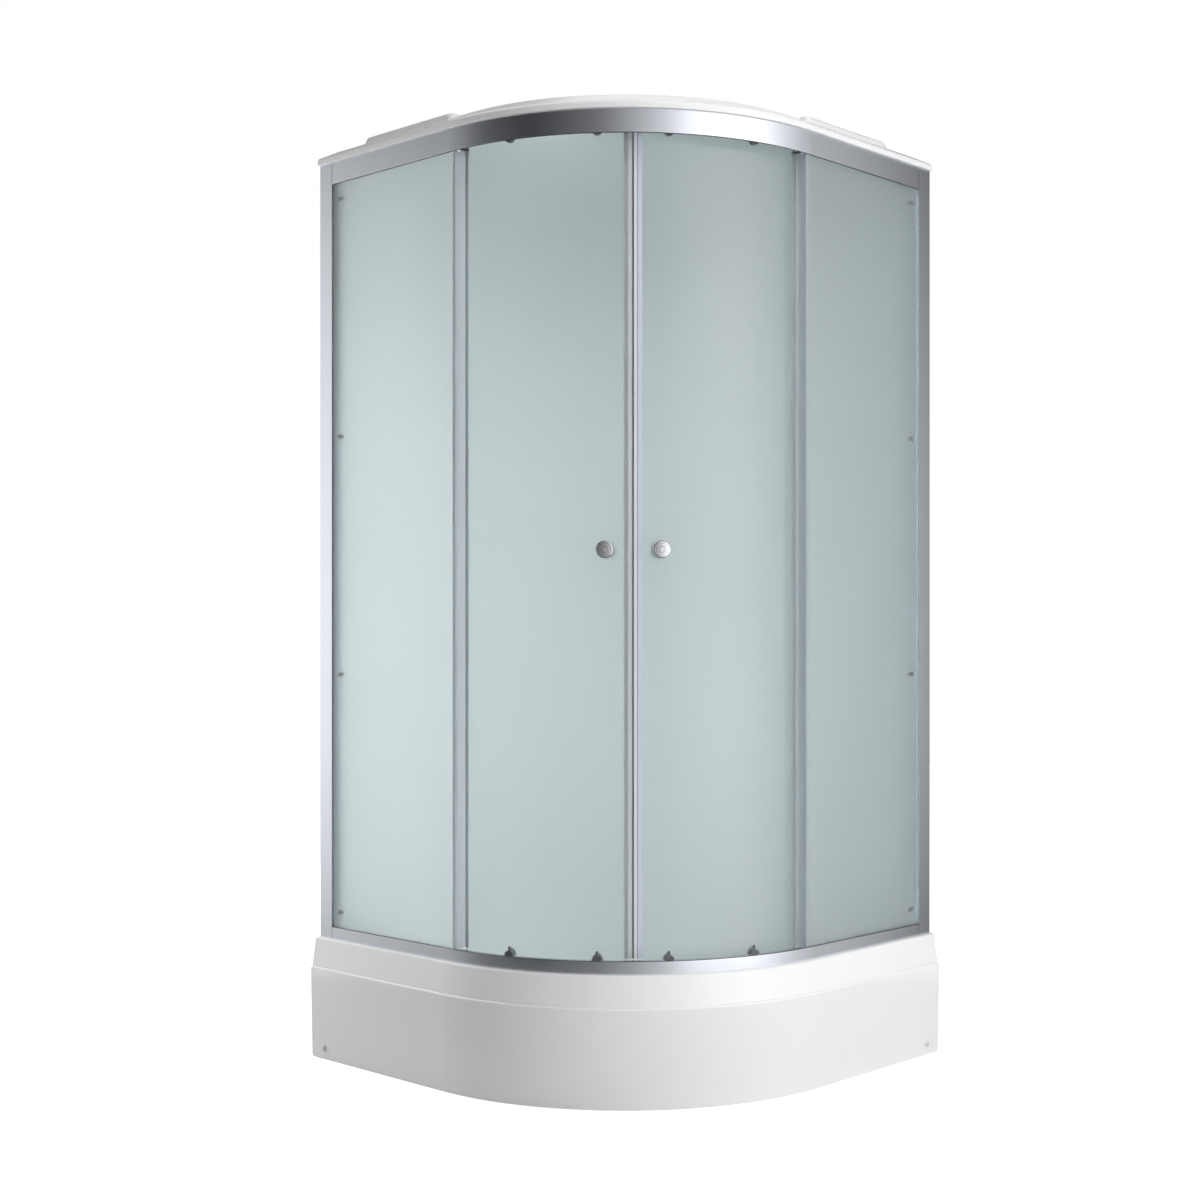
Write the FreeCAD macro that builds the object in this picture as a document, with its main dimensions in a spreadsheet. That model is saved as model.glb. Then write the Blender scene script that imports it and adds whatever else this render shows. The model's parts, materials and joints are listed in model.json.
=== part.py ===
import FreeCAD, Part
import math
import os
import re

import Sketcher
from FreeCAD import Placement, Rotation, Vector

# Corner shower cabin. Millimetres and degrees, +Z up, the floor at zero and the origin under the
# middle of the square footprint. The walls of the room stand at -X and +Y, and the bow faces +X -Y.

doc = FreeCAD.newDocument("shower_cabin")
sheet = doc.addObject("Spreadsheet::Sheet", "Sizes")

SIZES = {
    # footprint
    "tray_side": 900, "bow_radius": 500, "tray_height": 240,
    # tray
    "band_height": 57, "band_flare": 8, "tray_shell": 5, "basin_level": 90, "basin_front_rim": 75,
    "basin_back_rim": 70, "basin_draft": 30, "basin_corner": 80, "basin_edge_round": 8,
    "basin_floor_round": 16, "band_edge_round": 4,
    # skirt
    "skirt_ledge": 4, "skirt_thickness": 4, "skirt_draft": 4, "skirt_gap": 0.6, "skirt_lip_depth": 14,
    "skirt_lip_height": 5, "skirt_round": 3.8, "skirt_corner": 6,
    "cap_seat": 0.15, "cap_radius": 6.5, "cap_rise": 3.3, "cap_inset": 40, "cap_height": 22,
    # base frame and feet
    "frame_tube": 25, "frame_tube_wall": 2, "frame_half": 210, "frame_length": 660,
    "pad_radius": 25, "pad_height": 10, "foot_rod_radius": 6, "nut_radius": 11, "nut_height": 8,
    "thread_slack": 0.1,
    # drain
    "drain_radius": 45, "drain_cover_radius": 58, "drain_cover_rise": 10, "trap_flange_radius": 54,
    "trap_flange_height": 6, "trap_radius": 44, "trap_bottom": 10, "trap_neck_radius": 40,
    "waste_radius": 20, "waste_wall": 2, "waste_reach": 120, "waste_level": 36,
    "waste_collar_radius": 23, "waste_collar_reach": 50,
    # rails
    "rail_setback": 22, "rail_wall": 1.6, "lower_rail_height": 22.5, "upper_rail_level": 1752.5,
    "upper_rail_height": 43.7, "track_depth": 9.5, "track_lip": 2, "ledge_rise": 10.5,
    "roof_flange": 26, "rail_end_gap": 1.2, "rail_edge_round": 0.8,
    # wall profiles and glass clips
    "profile_width": 40, "profile_depth": 34, "profile_wall": 1.6, "profile_wall_gap": 2,
    "profile_lip_width": 15, "profile_lip_thickness": 3, "clip_radius": 4, "clip_depth": 5,
    "clip_margin": 30, "clip_count": 4, "screw_head_radius": 4, "screw_head_height": 2.5,
    "screw_inset": 14,
    # glass
    "glass_thickness": 4, "glass_slack": 0.4, "fixed_overlap": 12, "door_setback": 30,
    "door_lead": 9.5, "door_span_angle": 43.7, "door_foot": 6, "door_head": 8.2,
    # seals
    "seal_wall": 1.2, "seal_depth": 7, "seal_slack": 0.3, "magnet_reach": 8, "fin_thickness": 1.5,
    "fixed_fin_reach": 10, "rear_fin_reach": 12,
    # rollers
    "front_roller_angle": 8.3, "rear_roller_angle": 29.9, "wheel_setback": 16, "wheel_width": 6,
    "upper_wheel_radius": 11, "lower_wheel_radius": 7.5, "wheel_slack": 0.3, "tread_bevel": 0.8,
    "upper_axle_radius": 3, "lower_axle_radius": 2.5, "axle_slack": 0.05, "axle_proud": 0.6,
    "bracket_width": 20, "bracket_thickness": 7.7, "bracket_gap": 0.3, "bracket_lift": 2,
    "boss_radius": 5, "lower_boss_radius": 3.5, "housing_rise": 6.7, "housing_height": 11.9,
    "housing_thickness": 7.7, "pin_radius": 2.5, "pin_rise": 14,
    "carrier_width": 12, "carrier_height": 10, "carrier_thickness": 7, "carrier_gap": 1,
    "glass_hole_radius": 6, "shank_radius": 5, "cap_screw_radius": 9, "cap_screw_rise": 4,
    # knobs
    "knob_radius": 16, "knob_thickness": 11.5, "knob_crown": 1.5, "knob_round": 3, "knob_neck_radius": 8,
    "knob_neck": 8, "knob_base_radius": 11, "knob_base": 2, "knob_stud_radius": 4, "knob_arc": 50,
    "knob_level": 1004,
    # rail stops
    "stop_reach": 135, "stop_length": 12, "stop_height": 12, "stop_depth": 8,
    # back walls
    "panel_thickness": 5, "panel_wall_gap": 12, "column_leg": 170, "column_wall": 4,
    # roof
    "roof_overhang": 5, "rim_height": 37, "rim_lip": 12, "rim_slope": 50, "roof_wall": 4,
    "roof_seat": 15, "hump_rise": 16.5, "hump_inset": 54, "hump_width": 150, "hump_start": 54,
    "hump_margin": 74, "hump_draft": 5, "hump_corner": 14, "hump_round": 9, "hump_wall": 8,
    "dome_radius": 250, "dome_rise": 117, "dome_offset": 60, "roof_screw_inset": 19, "rim_round": 8,
    # water fittings
    "mixer_level": 1000, "plate_radius": 45, "plate_height": 6, "mixer_radius": 24, "mixer_length": 34,
    "collar_radius": 23, "collar_length": 16, "fitting_gap": 0.3, "spindle_radius": 8, "spindle_length": 9,
    "ear_thickness": 4, "lever_round": 4, "lever_width": 16, "lever_thickness": 9, "lever_length": 95,
    "lever_slot": 0.5, "lever_eye_radius": 7, "lever_pin_radius": 2,
    "inlet_radius": 10.5, "inlet_neck_radius": 9, "inlet_length": 28, "inlet_spacing": 50, "hole_slack": 1,
    "diverter_level": 890, "diverter_spindle": 5, "diverter_radius": 19, "diverter_length": 24,
    "arm_flange_radius": 28, "arm_flange": 5, "arm_below_top": 156.2, "arm_radius": 10, "arm_reach": 230,
    "arm_drop": 34, "arm_neck_radius": 7, "ball_radius": 12, "ball_slack": 0.4,
    "socket_radius": 18, "socket_height": 24, "socket_top": 9, "socket_mouth": 10,
    "head_radius": 90, "head_thickness": 12, "head_edge": 3,
    # one overrun for every cut
    "overrun": 5,
}

for row, (alias, value) in enumerate(SIZES.items(), start=1):
    sheet.set(f"A{row}", alias)
    sheet.set(f"B{row}", str(value))
    sheet.setAlias(f"B{row}", alias)
doc.recompute()

# places that several pieces share, as expressions in the named sizes
WALL = "(tray_side - bow_radius)"
RAIL = "(bow_radius - rail_setback)"
BAND_LEVEL = "(tray_height - band_height)"
UPPER_TOP = "(upper_rail_level + upper_rail_height)"
LOWER_TOP = "(tray_height + lower_rail_height)"
RAIL_END = f"({WALL} - profile_width - rail_end_gap)"
CHANNEL = f"({RAIL} - rail_wall - glass_thickness - 2 * glass_slack)"
TRACK = f"({CHANNEL} - rail_wall)"
TRACK_EDGE = f"({TRACK} - track_depth)"
FIXED_FACE = f"({RAIL} - rail_wall - glass_slack)"
FIXED_BACK = f"({FIXED_FACE} - glass_thickness)"
DOOR_FACE = f"({RAIL} - door_setback)"
DOOR_BACK = f"({DOOR_FACE} - glass_thickness)"
WHEEL = f"({RAIL} - wheel_setback)"
WHEEL_START = f"({WHEEL} - {DOOR_FACE} - wheel_width / 2)"
WHEEL_END = f"({WHEEL_START} + wheel_width)"
LEDGE_TOP = "(upper_rail_level + ledge_rise + track_lip)"
UPPER_AXLE = f"({LEDGE_TOP} + wheel_slack + upper_wheel_radius)"
LOWER_AXLE = f"({LOWER_TOP} - track_lip - wheel_slack - lower_wheel_radius)"
PANEL_BACK = f"({WALL} - panel_wall_gap)"
PANEL_FACE = f"({PANEL_BACK} - panel_thickness)"
RIM = f"({RAIL} + roof_overhang)"
DECK = f"({UPPER_TOP} + rim_height)"
COLUMN_FACE = "(column_leg * cos(45))"
DIAGONAL = -45
TOUCH = 0.001


def mm(text):
    """The value of an expression in the named sizes."""
    return float(sheet.evalExpression(text))


def bound(text):
    """The same expression, reading the sheet from another object."""
    return re.sub(r"[a-z_]{4,}", lambda word: f"Sizes.{word[0]}" if word[0] in SIZES else word[0], text)


def bind(thing, **texts):
    for name, text in texts.items():
        thing.setExpression(name, bound(text))


CENTRE = Vector(mm("tray_side / 2 - bow_radius"), mm("bow_radius - tray_side / 2"), 0)


# Helpers for bodies and sketches. Plan outlines are drawn about the bow's centre.

def new_body(label, spot=None):
    body = doc.addObject("PartDesign::Body", label)
    body.Label = label
    body.Placement = spot or Placement(CENTRE, Rotation())
    return body


def new_sketch(body, loops, level="0", plane="XY_Plane"):
    """A fully dimensioned sketch on one of the body's own planes, raised by level."""
    sketch = body.newObject("Sketcher::SketchObject", "Outline")
    origin_plane = [item for item in body.Origin.OriginFeatures if item.Role == plane][0]
    sketch.AttachmentSupport = [(origin_plane, "")]
    sketch.MapMode = "FlatFace"
    sketch.setExpression("AttachmentOffset.Base.z", bound(level))
    for loop in loops:
        if isinstance(loop, dict):
            add_circle(sketch, **loop)
        else:
            add_loop(sketch, loop)
    return sketch


def hold(sketch, kind, text, *geometry):
    number = sketch.addConstraint(Sketcher.Constraint(kind, *geometry, mm(text)))
    sketch.setExpression(f"Constraints[{number}]", bound(text))


def hold_point(sketch, geometry, position, x, y):
    for kind, text, axis in (("DistanceX", x, -2), ("DistanceY", y, -1)):
        if text == "0":
            sketch.addConstraint(Sketcher.Constraint("PointOnObject", geometry, position, axis))
        else:
            hold(sketch, kind, text, -1, 1, geometry, position)


def add_circle(sketch, radius, x="0", y="0"):
    middle = Vector(mm(x), mm(y), 0)
    circle = sketch.addGeometry(Part.Circle(middle, Vector(0, 0, 1), mm(radius)), False)
    hold(sketch, "Radius", radius, circle)
    hold_point(sketch, circle, 3, x, y)


def add_loop(sketch, corners):
    """Corners are (x, y), or (x, y, radius, centre x, centre y) where an arc arrives."""
    points = [Vector(mm(corner[0]), mm(corner[1]), 0) for corner in corners]
    runs = []
    for index, corner in enumerate(corners):
        start, end = points[index - 1], points[index]
        if len(corner) == 2:
            line = sketch.addGeometry(Part.LineSegment(start, end), False)
            runs.append((line, 1, 2))
            continue
        middle = Vector(mm(corner[3]), mm(corner[4]), 0)
        first, last = start - middle, end - middle
        leftward = first.cross(last).z > 0
        if not leftward:
            first, last = last, first
        begin = math.atan2(first.y, first.x)
        sweep = (math.atan2(last.y, last.x) - begin) % (2 * math.pi)
        circle = Part.Circle(middle, Vector(0, 0, 1), mm(corner[2]))
        arc = sketch.addGeometry(Part.ArcOfCircle(circle, begin, begin + sweep), False)
        hold(sketch, "Radius", corner[2], arc)
        runs.append((arc, 1, 2) if leftward else (arc, 2, 1))
    for index, corner in enumerate(corners):
        run, following = runs[index], runs[(index + 1) % len(runs)]
        joint = Sketcher.Constraint("Coincident", run[0], run[2], following[0], following[1])
        sketch.addConstraint(joint)
        hold_point(sketch, run[0], run[2], corner[0], corner[1])


def pad(body, loops, level, length, plane="XY_Plane"):
    feature = body.newObject("PartDesign::Pad", "Pad")
    feature.Profile = new_sketch(body, loops, level, plane)
    bind(feature, Length=length)
    return feature


def pocket(body, loops, level, depth, upward=False):
    doc.recompute()
    before = body.Shape.Volume
    feature = body.newObject("PartDesign::Pocket", "Pocket")
    feature.Profile = new_sketch(body, loops, level)
    feature.Reversed = upward
    bind(feature, Length=depth)
    doc.recompute()
    if not body.Shape.Volume < before:
        raise RuntimeError(f"{body.Label}: a pocket cuts nothing")


def loft(body, kind, lower, upper):
    """A straight-sided loft between two outlines, each given as (corners, level)."""
    feature = body.newObject(f"PartDesign::{kind}", "Loft")
    feature.Profile = new_sketch(body, [lower[0]], lower[1])
    feature.Sections = [new_sketch(body, [upper[0]], upper[1])]
    feature.Ruled = True
    return feature


def revolve(body, corners):
    """Corners are (radius, height) about the body's own Z axis."""
    feature = body.newObject("PartDesign::Revolution", "Revolution")
    sketch = new_sketch(body, [corners], plane="XZ_Plane")
    feature.Profile = sketch
    feature.ReferenceAxis = (sketch, ["V_Axis"])


def round_edges(body, radius, chosen):
    """Fillet the edges of the finished body that the test chosen accepts."""
    doc.recompute()
    tip = body.Tip
    names = [f"Edge{number}" for number, edge in enumerate(tip.Shape.Edges, start=1) if chosen(edge)]
    fillet = body.newObject("PartDesign::Fillet", "Fillet")
    fillet.Base = (tip, names)
    bind(fillet, Radius=radius)


def quadrant(radius, reach):
    """Two straight fronts joined by the bow, closed along the two walls."""
    return [
        (f"-{reach}", f"-{radius}"), ("0", f"-{radius}"), (radius, "0", radius, "0", "0"),
        (radius, reach), (f"-{reach}", reach),
    ]


def soft_quadrant(radius, reach, corner):
    """The same outline with round corners at the walls."""
    side, far, wall = f"{radius} - {corner}", f"-{reach} + {corner}", f"{reach} - {corner}"
    return [
        ("0", f"-{radius}"), (radius, "0", radius, "0", "0"), (radius, wall),
        (side, reach, corner, side, wall), (far, reach), (f"-{reach}", wall, corner, far, wall),
        (f"-{reach}", f"-({side})"), (far, f"-{radius}", corner, far, f"-({side})"),
    ]


def band(outer, inner, reach):
    """A strip that follows the fronts and the bow between two radii."""
    return [
        (f"-{reach}", f"-{outer}"), ("0", f"-{outer}"), (outer, "0", outer, "0", "0"), (outer, reach),
        (inner, reach), (inner, "0"), ("0", f"-{inner}", inner, "0", "0"), (f"-{reach}", f"-{inner}"),
    ]


def rectangle(left, front, right, back):
    return [(left, front), (right, front), (right, back), (left, back)]


def box(label, corner, size):
    """A block from its low corner and its size, as expressions about the bow's centre."""
    block = doc.addObject("Part::Box", label)
    block.Label = label
    bind(block, Length=size[0], Width=size[1], Height=size[2])
    bind(block, **{
        ".Placement.Base.x": f"tray_side / 2 - bow_radius + {corner[0]}",
        ".Placement.Base.y": f"bow_radius - tray_side / 2 + {corner[1]}",
        ".Placement.Base.z": corner[2],
    })
    return block


def rod(label, spot, radius, length):
    cylinder = doc.addObject("Part::Cylinder", label)
    cylinder.Label = label
    bind(cylinder, Radius=radius, Height=length)
    cylinder.Placement = spot
    return cylinder


def dome(label, spot, radius, rise):
    """A spherical cap on a flat base, the base's middle at spot."""
    cap = doc.addObject("Part::Sphere", label)
    cap.Label = label
    ball = f"(({radius}) ^ 2 + ({rise}) ^ 2) / (2 * ({rise}))"
    bind(cap, Radius=ball, Angle1=f"asin(({ball} - ({rise})) / ({ball}))")
    cap.Placement = spot * Placement(Vector(0, 0, mm(rise) - mm(ball)), Rotation())
    return cap


def fuse(label, parts):
    whole = doc.addObject("Part::MultiFuse", label)
    whole.Label = label
    whole.Shapes = parts
    whole.Refine = True
    return whole


def cut(label, base, tools):
    whole = doc.addObject("Part::Cut", label)
    whole.Label = label
    whole.Base = base
    whole.Tool = tools[0] if len(tools) == 1 else fuse(f"{label}_tools", tools)
    return whole


def group(label, parts):
    whole = doc.addObject("Part::Compound", label)
    whole.Label = label
    whole.Links = parts
    return whole


def mirrored(source, label):
    """The same piece on the other side of the diagonal, which runs through the origin."""
    copy = doc.addObject("Part::Mirroring", label)
    copy.Label = label
    copy.Source = source
    copy.Normal = Vector(1, 1, 0)
    return copy


nodes = {}


def keep(piece):
    nodes[piece.Label] = piece
    return piece


def keep_pair(piece, name):
    """Keep a right-hand piece and its mirror image."""
    piece.Label = f"right_{name}"
    keep(piece)
    keep(mirrored(piece, f"left_{name}"))


def standing(x, y, z):
    """A place in plan about the bow's centre, upright."""
    return Placement(CENTRE + Vector(mm(x), mm(y), mm(z)), Rotation())


def radial(angle, radius, level):
    """A frame on the bow: X along it, Y up and Z outward."""
    turn = math.radians(DIAGONAL + angle)
    spot = Vector(mm(radius) * math.cos(turn), mm(radius) * math.sin(turn), mm(level))
    return Placement(CENTRE + spot, Rotation(DIAGONAL + angle + 90, 0, 90))


def on_column(level, proud="0"):
    """A frame on the corner column's face: X along it, Y up and Z into the cabin."""
    turn = math.radians(DIAGONAL)
    depth = mm(f"{COLUMN_FACE} + {proud}")
    corner = Vector(mm(f"-{PANEL_FACE}"), mm(PANEL_FACE), mm(level))
    spot = corner + Vector(depth * math.cos(turn), depth * math.sin(turn), 0)
    return Placement(CENTRE + spot, Rotation(DIAGONAL + 90, 0, 90))


def shifted(spot, x="0", y="0", z="0", turn=None):
    return spot * Placement(Vector(mm(x), mm(y), mm(z)), turn or Rotation())


def at_level(edge, level):
    return all(abs(vertex.Z - mm(level)) < TOUCH for vertex in edge.Vertexes)


def on_front(edge, radius):
    """True for an edge that follows the fronts and the bow at this radius."""
    middle = edge.valueAt((edge.FirstParameter + edge.LastParameter) / 2)
    if middle.x < -TOUCH:
        distance = -middle.y
    elif middle.y > TOUCH:
        distance = middle.x
    else:
        distance = math.hypot(middle.x, middle.y)
    return abs(distance - mm(radius)) < TOUCH


# Tray: a moulded shell with a flared front band and a drafted basin.

tray_foot = "(bow_radius - skirt_ledge)"
tray_top = "(bow_radius - skirt_ledge - band_flare)"
basin = "(bow_radius - basin_front_rim)"
basin_reach = f"({WALL} - basin_back_rim)"
tray = new_body("tray")
loft(tray, "AdditiveLoft",
     (quadrant(tray_foot, WALL), BAND_LEVEL), (quadrant(tray_top, WALL), "tray_height"))
pocket(tray, [quadrant(f"({tray_top} - tray_shell)", f"({WALL} - tray_shell)")], BAND_LEVEL,
       "band_height - tray_shell", upward=True)
loft(tray, "AdditiveLoft",
     (soft_quadrant(f"({basin} - basin_draft + tray_shell)", f"({basin_reach} - basin_draft + tray_shell)",
                    "basin_corner"), "basin_level - tray_shell"),
     (soft_quadrant(f"({basin} + tray_shell)", f"({basin_reach} + tray_shell)", "basin_corner"),
      "tray_height"))
loft(tray, "SubtractiveLoft",
     (soft_quadrant(f"({basin} - basin_draft)", f"({basin_reach} - basin_draft)", "basin_corner"),
      "basin_level"),
     (soft_quadrant(basin, basin_reach, "basin_corner"), "tray_height"))


def on_basin(edge, level):
    """True for an edge at this level that lies inside the tray's own outline."""
    middle = edge.valueAt((edge.FirstParameter + edge.LastParameter) / 2)
    inside_walls = middle.x > TOUCH - mm(WALL) and middle.y < mm(WALL) - TOUCH
    inside_bow = math.hypot(max(middle.x, 0), min(middle.y, 0)) < mm(tray_top) - TOUCH
    return at_level(edge, level) and inside_walls and inside_bow


round_edges(tray, "band_edge_round", lambda edge: at_level(edge, "tray_height") and on_front(edge, tray_top))
round_edges(tray, "basin_edge_round", lambda edge: on_basin(edge, "tray_height"))
round_edges(tray, "basin_floor_round", lambda edge: on_basin(edge, "basin_level"))
pocket(tray, [{"radius": "drain_radius"}], "basin_level", "tray_shell + overrun")
keep(tray)


# Front skirt: a thin curved apron whose upper lip carries the band, with a screw cap at each end.

panel_top = f"({BAND_LEVEL} - skirt_lip_height)"
skirt_foot = "(bow_radius - skirt_draft)"
skirt = new_body("front_skirt")
loft(skirt, "AdditiveLoft",
     (band(skirt_foot, f"({skirt_foot} - skirt_thickness)", WALL), "skirt_gap"),
     (band("bow_radius", "(bow_radius - skirt_thickness)", WALL), panel_top))
pad(skirt, [band("bow_radius", "(bow_radius - skirt_lip_depth)", WALL)], panel_top, "skirt_lip_height")


def at_wall(edge):
    """True for an edge that lies in the plane of either wall."""
    ends = edge.Vertexes
    at_side = all(abs(vertex.X + mm(WALL)) < TOUCH for vertex in ends)
    return at_side or all(abs(vertex.Y - mm(WALL)) < TOUCH for vertex in ends)


round_edges(skirt, "skirt_round", lambda edge: at_level(edge, BAND_LEVEL) and on_front(edge, "bow_radius"))
round_edges(skirt, "skirt_corner", lambda edge: at_level(edge, "skirt_gap") and at_wall(edge))
keep(skirt)

cap_face = f"{skirt_foot} + skirt_draft * cap_height / ({panel_top} - skirt_gap) + cap_seat"
cap_spot = standing(cap_face, f"{WALL} - cap_inset", "skirt_gap + cap_height")
right_cap = dome("right_cap", shifted(cap_spot, turn=Rotation(Vector(0, 0, 1), Vector(1, 0, 0))),
                 "cap_radius", "cap_rise")
keep(group("skirt_caps", [right_cap, mirrored(right_cap, "left_cap")]))


# Base frame: four square tubes welded under the basin, on four levelling feet.

MIDDLE_X = "(bow_radius - tray_side / 2)"
MIDDLE_Y = "(tray_side / 2 - bow_radius)"
frame_level = "(basin_level - tray_shell - frame_tube)"


def tube(label, corner, size, along):
    """A square tube from its low corner; along is 0 for X and 1 for Y."""
    wall = "frame_tube_wall"
    bore_corner = [f"{place} + {wall}" for place in corner]
    bore_size = [f"{length} - 2 * {wall}" for length in size]
    bore_corner[along] = f"{corner[along]} - overrun"
    bore_size[along] = f"{size[along]} + 2 * overrun"
    return cut(label, box(f"{label}_skin", corner, size), [box(f"{label}_bore", bore_corner, bore_size)])


tubes, rods, pads, nuts = [], [], [], []
for side, sign in (("near", "-"), ("far", "+")):
    long_corner = [f"{MIDDLE_X} - frame_length / 2",
                   f"{MIDDLE_Y} {sign} frame_half - frame_tube / 2", frame_level]
    tubes.append(tube(f"long_{side}", long_corner, ["frame_length", "frame_tube", "frame_tube"], 0))
    cross_corner = [f"{MIDDLE_X} {sign} frame_half - frame_tube / 2",
                    f"{MIDDLE_Y} - frame_half + frame_tube / 2", frame_level]
    tubes.append(tube(f"cross_{side}", cross_corner,
                      ["frame_tube", "2 * frame_half - frame_tube", "frame_tube"], 1))
    for other, turn in (("near", "-"), ("far", "+")):
        plan = (f"{MIDDLE_X} {sign} frame_half", f"{MIDDLE_Y} {turn} frame_half")
        name = f"{side}_{other}"
        pads.append(rod(f"pad_{name}", standing(*plan, "0"), "pad_radius", "pad_height"))
        rods.append(rod(f"rod_{name}", standing(*plan, "pad_height"), "foot_rod_radius",
                        f"{frame_level} - pad_height"))
        nut = doc.addObject("Part::Prism", f"nut_{name}")
        nut.Polygon = 6
        bind(nut, Circumradius="nut_radius", Height="nut_height")
        nut.Placement = standing(*plan, f"{frame_level} - nut_height")
        thread = rod(f"thread_{name}", standing(*plan, f"{frame_level} - nut_height - overrun"),
                     "foot_rod_radius + thread_slack", "nut_height + 2 * overrun")
        nuts.append(cut(f"tapped_{name}", nut, [thread]))
keep(fuse("base_frame", tubes))
keep(group("foot_pads", pads))
keep(group("foot_rods", rods))
keep(group("foot_nuts", nuts))


# Drain: a domed cover over the hole, and a cup trap below with a waste spigot towards the back wall.

keep(dome("drain_cover", standing("0", "0", "basin_level"), "drain_cover_radius", "drain_cover_rise"))
floor_under = "(basin_level - tray_shell)"
waste_spot = shifted(standing("0", "0", "waste_level"), turn=Rotation(Vector(0, 0, 1), Vector(0, 1, 0)))
trap_skin = fuse("trap_skin", [
    rod("trap_neck", standing("0", "0", floor_under), "trap_neck_radius", "tray_shell"),
    rod("trap_flange", standing("0", "0", f"{floor_under} - trap_flange_height"), "trap_flange_radius",
        "trap_flange_height"),
    rod("trap_cup", standing("0", "0", "trap_bottom"), "trap_radius", f"{floor_under} - trap_bottom"),
    rod("waste_pipe", waste_spot, "waste_radius", "waste_reach"),
    rod("waste_collar", waste_spot, "waste_collar_radius", "waste_collar_reach"),
])
keep(cut("drain_trap", trap_skin, [
    rod("cup_bore", standing("0", "0", "trap_bottom + waste_wall"), "trap_neck_radius - waste_wall",
        "basin_level + overrun - trap_bottom"),
    rod("waste_bore", waste_spot, "waste_radius - waste_wall", "waste_reach + overrun"),
]))


# Rails: bent extrusions. Each has a face, a channel for the fixed glass and a track lip for the wheels.

def rail(label, strips):
    body = new_body(label)
    for outer, inner, level, height in strips:
        pad(body, [band(outer, inner, RAIL_END)], level, height)
    return body


lower_rail = rail("lower_rail", [
    (RAIL, TRACK, "tray_height", "rail_wall"),
    (RAIL, f"({RAIL} - rail_wall)", "tray_height", "lower_rail_height"),
    (CHANNEL, TRACK, "tray_height", "lower_rail_height"),
    (CHANNEL, TRACK_EDGE, f"{LOWER_TOP} - track_lip", "track_lip"),
])
round_edges(lower_rail, "rail_edge_round", lambda edge: at_level(edge, LOWER_TOP) and on_front(edge, RAIL))
keep(lower_rail)

upper_rail = rail("upper_rail", [
    (RAIL, f"({RAIL} - roof_flange)", f"{UPPER_TOP} - rail_wall", "rail_wall"),
    (RAIL, f"({RAIL} - rail_wall)", "upper_rail_level", "upper_rail_height"),
    (CHANNEL, TRACK, "upper_rail_level + rail_wall", "upper_rail_height - rail_wall"),
    (CHANNEL, TRACK_EDGE, "upper_rail_level + ledge_rise", "track_lip"),
])
for level in ("upper_rail_level", UPPER_TOP):
    round_edges(upper_rail, "rail_edge_round", lambda edge: at_level(edge, level) and on_front(edge, RAIL))
keep(upper_rail)

stop = box("right_stop", (f"{TRACK} - stop_depth", "stop_reach", LEDGE_TOP),
           ("stop_depth", "stop_length", "stop_height"))
keep(group("rail_stops", [stop, mirrored(stop, "left_stop")]))


# Wall profiles: hollow uprights at the walls, with a lip behind the fixed glass.

profile_height = f"{UPPER_TOP} - tray_height"
profile_edge = f"({WALL} - profile_width)"
profile_back = f"({RAIL} - profile_depth)"
lip_face = f"({FIXED_BACK} - glass_slack)"
visible_level = f"({LOWER_TOP} + rail_end_gap)"
visible_height = f"(upper_rail_level - {LOWER_TOP} - 2 * rail_end_gap)"
profile = new_body("right_wall_profile")
pad(profile, [
    rectangle(profile_back, profile_edge, RAIL, f"{WALL} - profile_wall_gap"),
    rectangle(f"{profile_back} + profile_wall", f"{profile_edge} + profile_wall", f"{RAIL} - profile_wall",
              f"{WALL} - profile_wall_gap - profile_wall"),
], "tray_height", profile_height)
lip_edge = f"({profile_edge} - profile_lip_width)"
pad(profile, [rectangle(f"{lip_face} - profile_lip_thickness", lip_edge, lip_face, profile_edge)],
    visible_level, visible_height)
keep_pair(profile, "wall_profile")

outward = Rotation(Vector(0, 0, 1), Vector(1, 0, 0))
inward = Rotation(Vector(0, 0, 1), Vector(-1, 0, 0))
clip_pitch = f"(({visible_height} - 2 * clip_margin) / (clip_count - 1))"
clips = []
for number in range(int(mm("clip_count"))):
    spot = standing(f"{lip_face} - clip_depth", f"{lip_edge} - clip_radius",
                    f"{visible_level} + clip_margin + {number} * {clip_pitch}")
    clips.append(rod(f"clip_{number}", shifted(spot, turn=outward), "clip_radius", "clip_depth"))
keep_pair(group("right_glass_clips", clips), "glass_clips")

screws = []
for name, level in (("low", f"{LOWER_TOP} + clip_margin"), ("high", "upper_rail_level - clip_margin")):
    spot = standing(profile_back, f"{profile_edge} + screw_inset", level)
    screws.append(dome(f"profile_screw_{name}", shifted(spot, turn=inward), "screw_head_radius",
                       "screw_head_height"))
screws += [mirrored(screw, f"{screw.Label}_left") for screw in screws]
keep(group("profile_screws", screws))


# Fixed glass: a flat pane in both channels, its free edge in a seal with a fin towards the door.

keep_pair(box("right_fixed_glass",
              (FIXED_BACK, "-fixed_overlap", "tray_height + rail_wall + glass_slack"),
              ("glass_thickness", f"{RAIL_END} + fixed_overlap",
               f"{UPPER_TOP} - tray_height - 2 * rail_wall - 2 * glass_slack")), "fixed_glass")

seal_half = "(glass_thickness / 2 + seal_slack)"
seal_outer = f"({seal_half} + seal_wall)"
seal_back = "(seal_slack + seal_wall)"
seal_slot = [
    ("seal_depth", f"-{seal_outer}"), ("seal_depth", f"-{seal_half}"), ("-seal_slack", f"-{seal_half}"),
    ("-seal_slack", seal_half), ("seal_depth", seal_half), ("seal_depth", seal_outer),
]


def fin(reach):
    """A slotted edge seal with a fin on its positive side."""
    root = f"fin_thickness - {seal_back}"
    tip = f"{seal_outer} + {reach}"
    return seal_slot + [(root, seal_outer), (root, tip), (f"-{seal_back}", tip),
                        (f"-{seal_back}", f"-{seal_outer}")]


def edge_seal(label, outline, spot):
    body = new_body(label, spot)
    pad(body, [outline], "0", visible_height)
    return body


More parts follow.
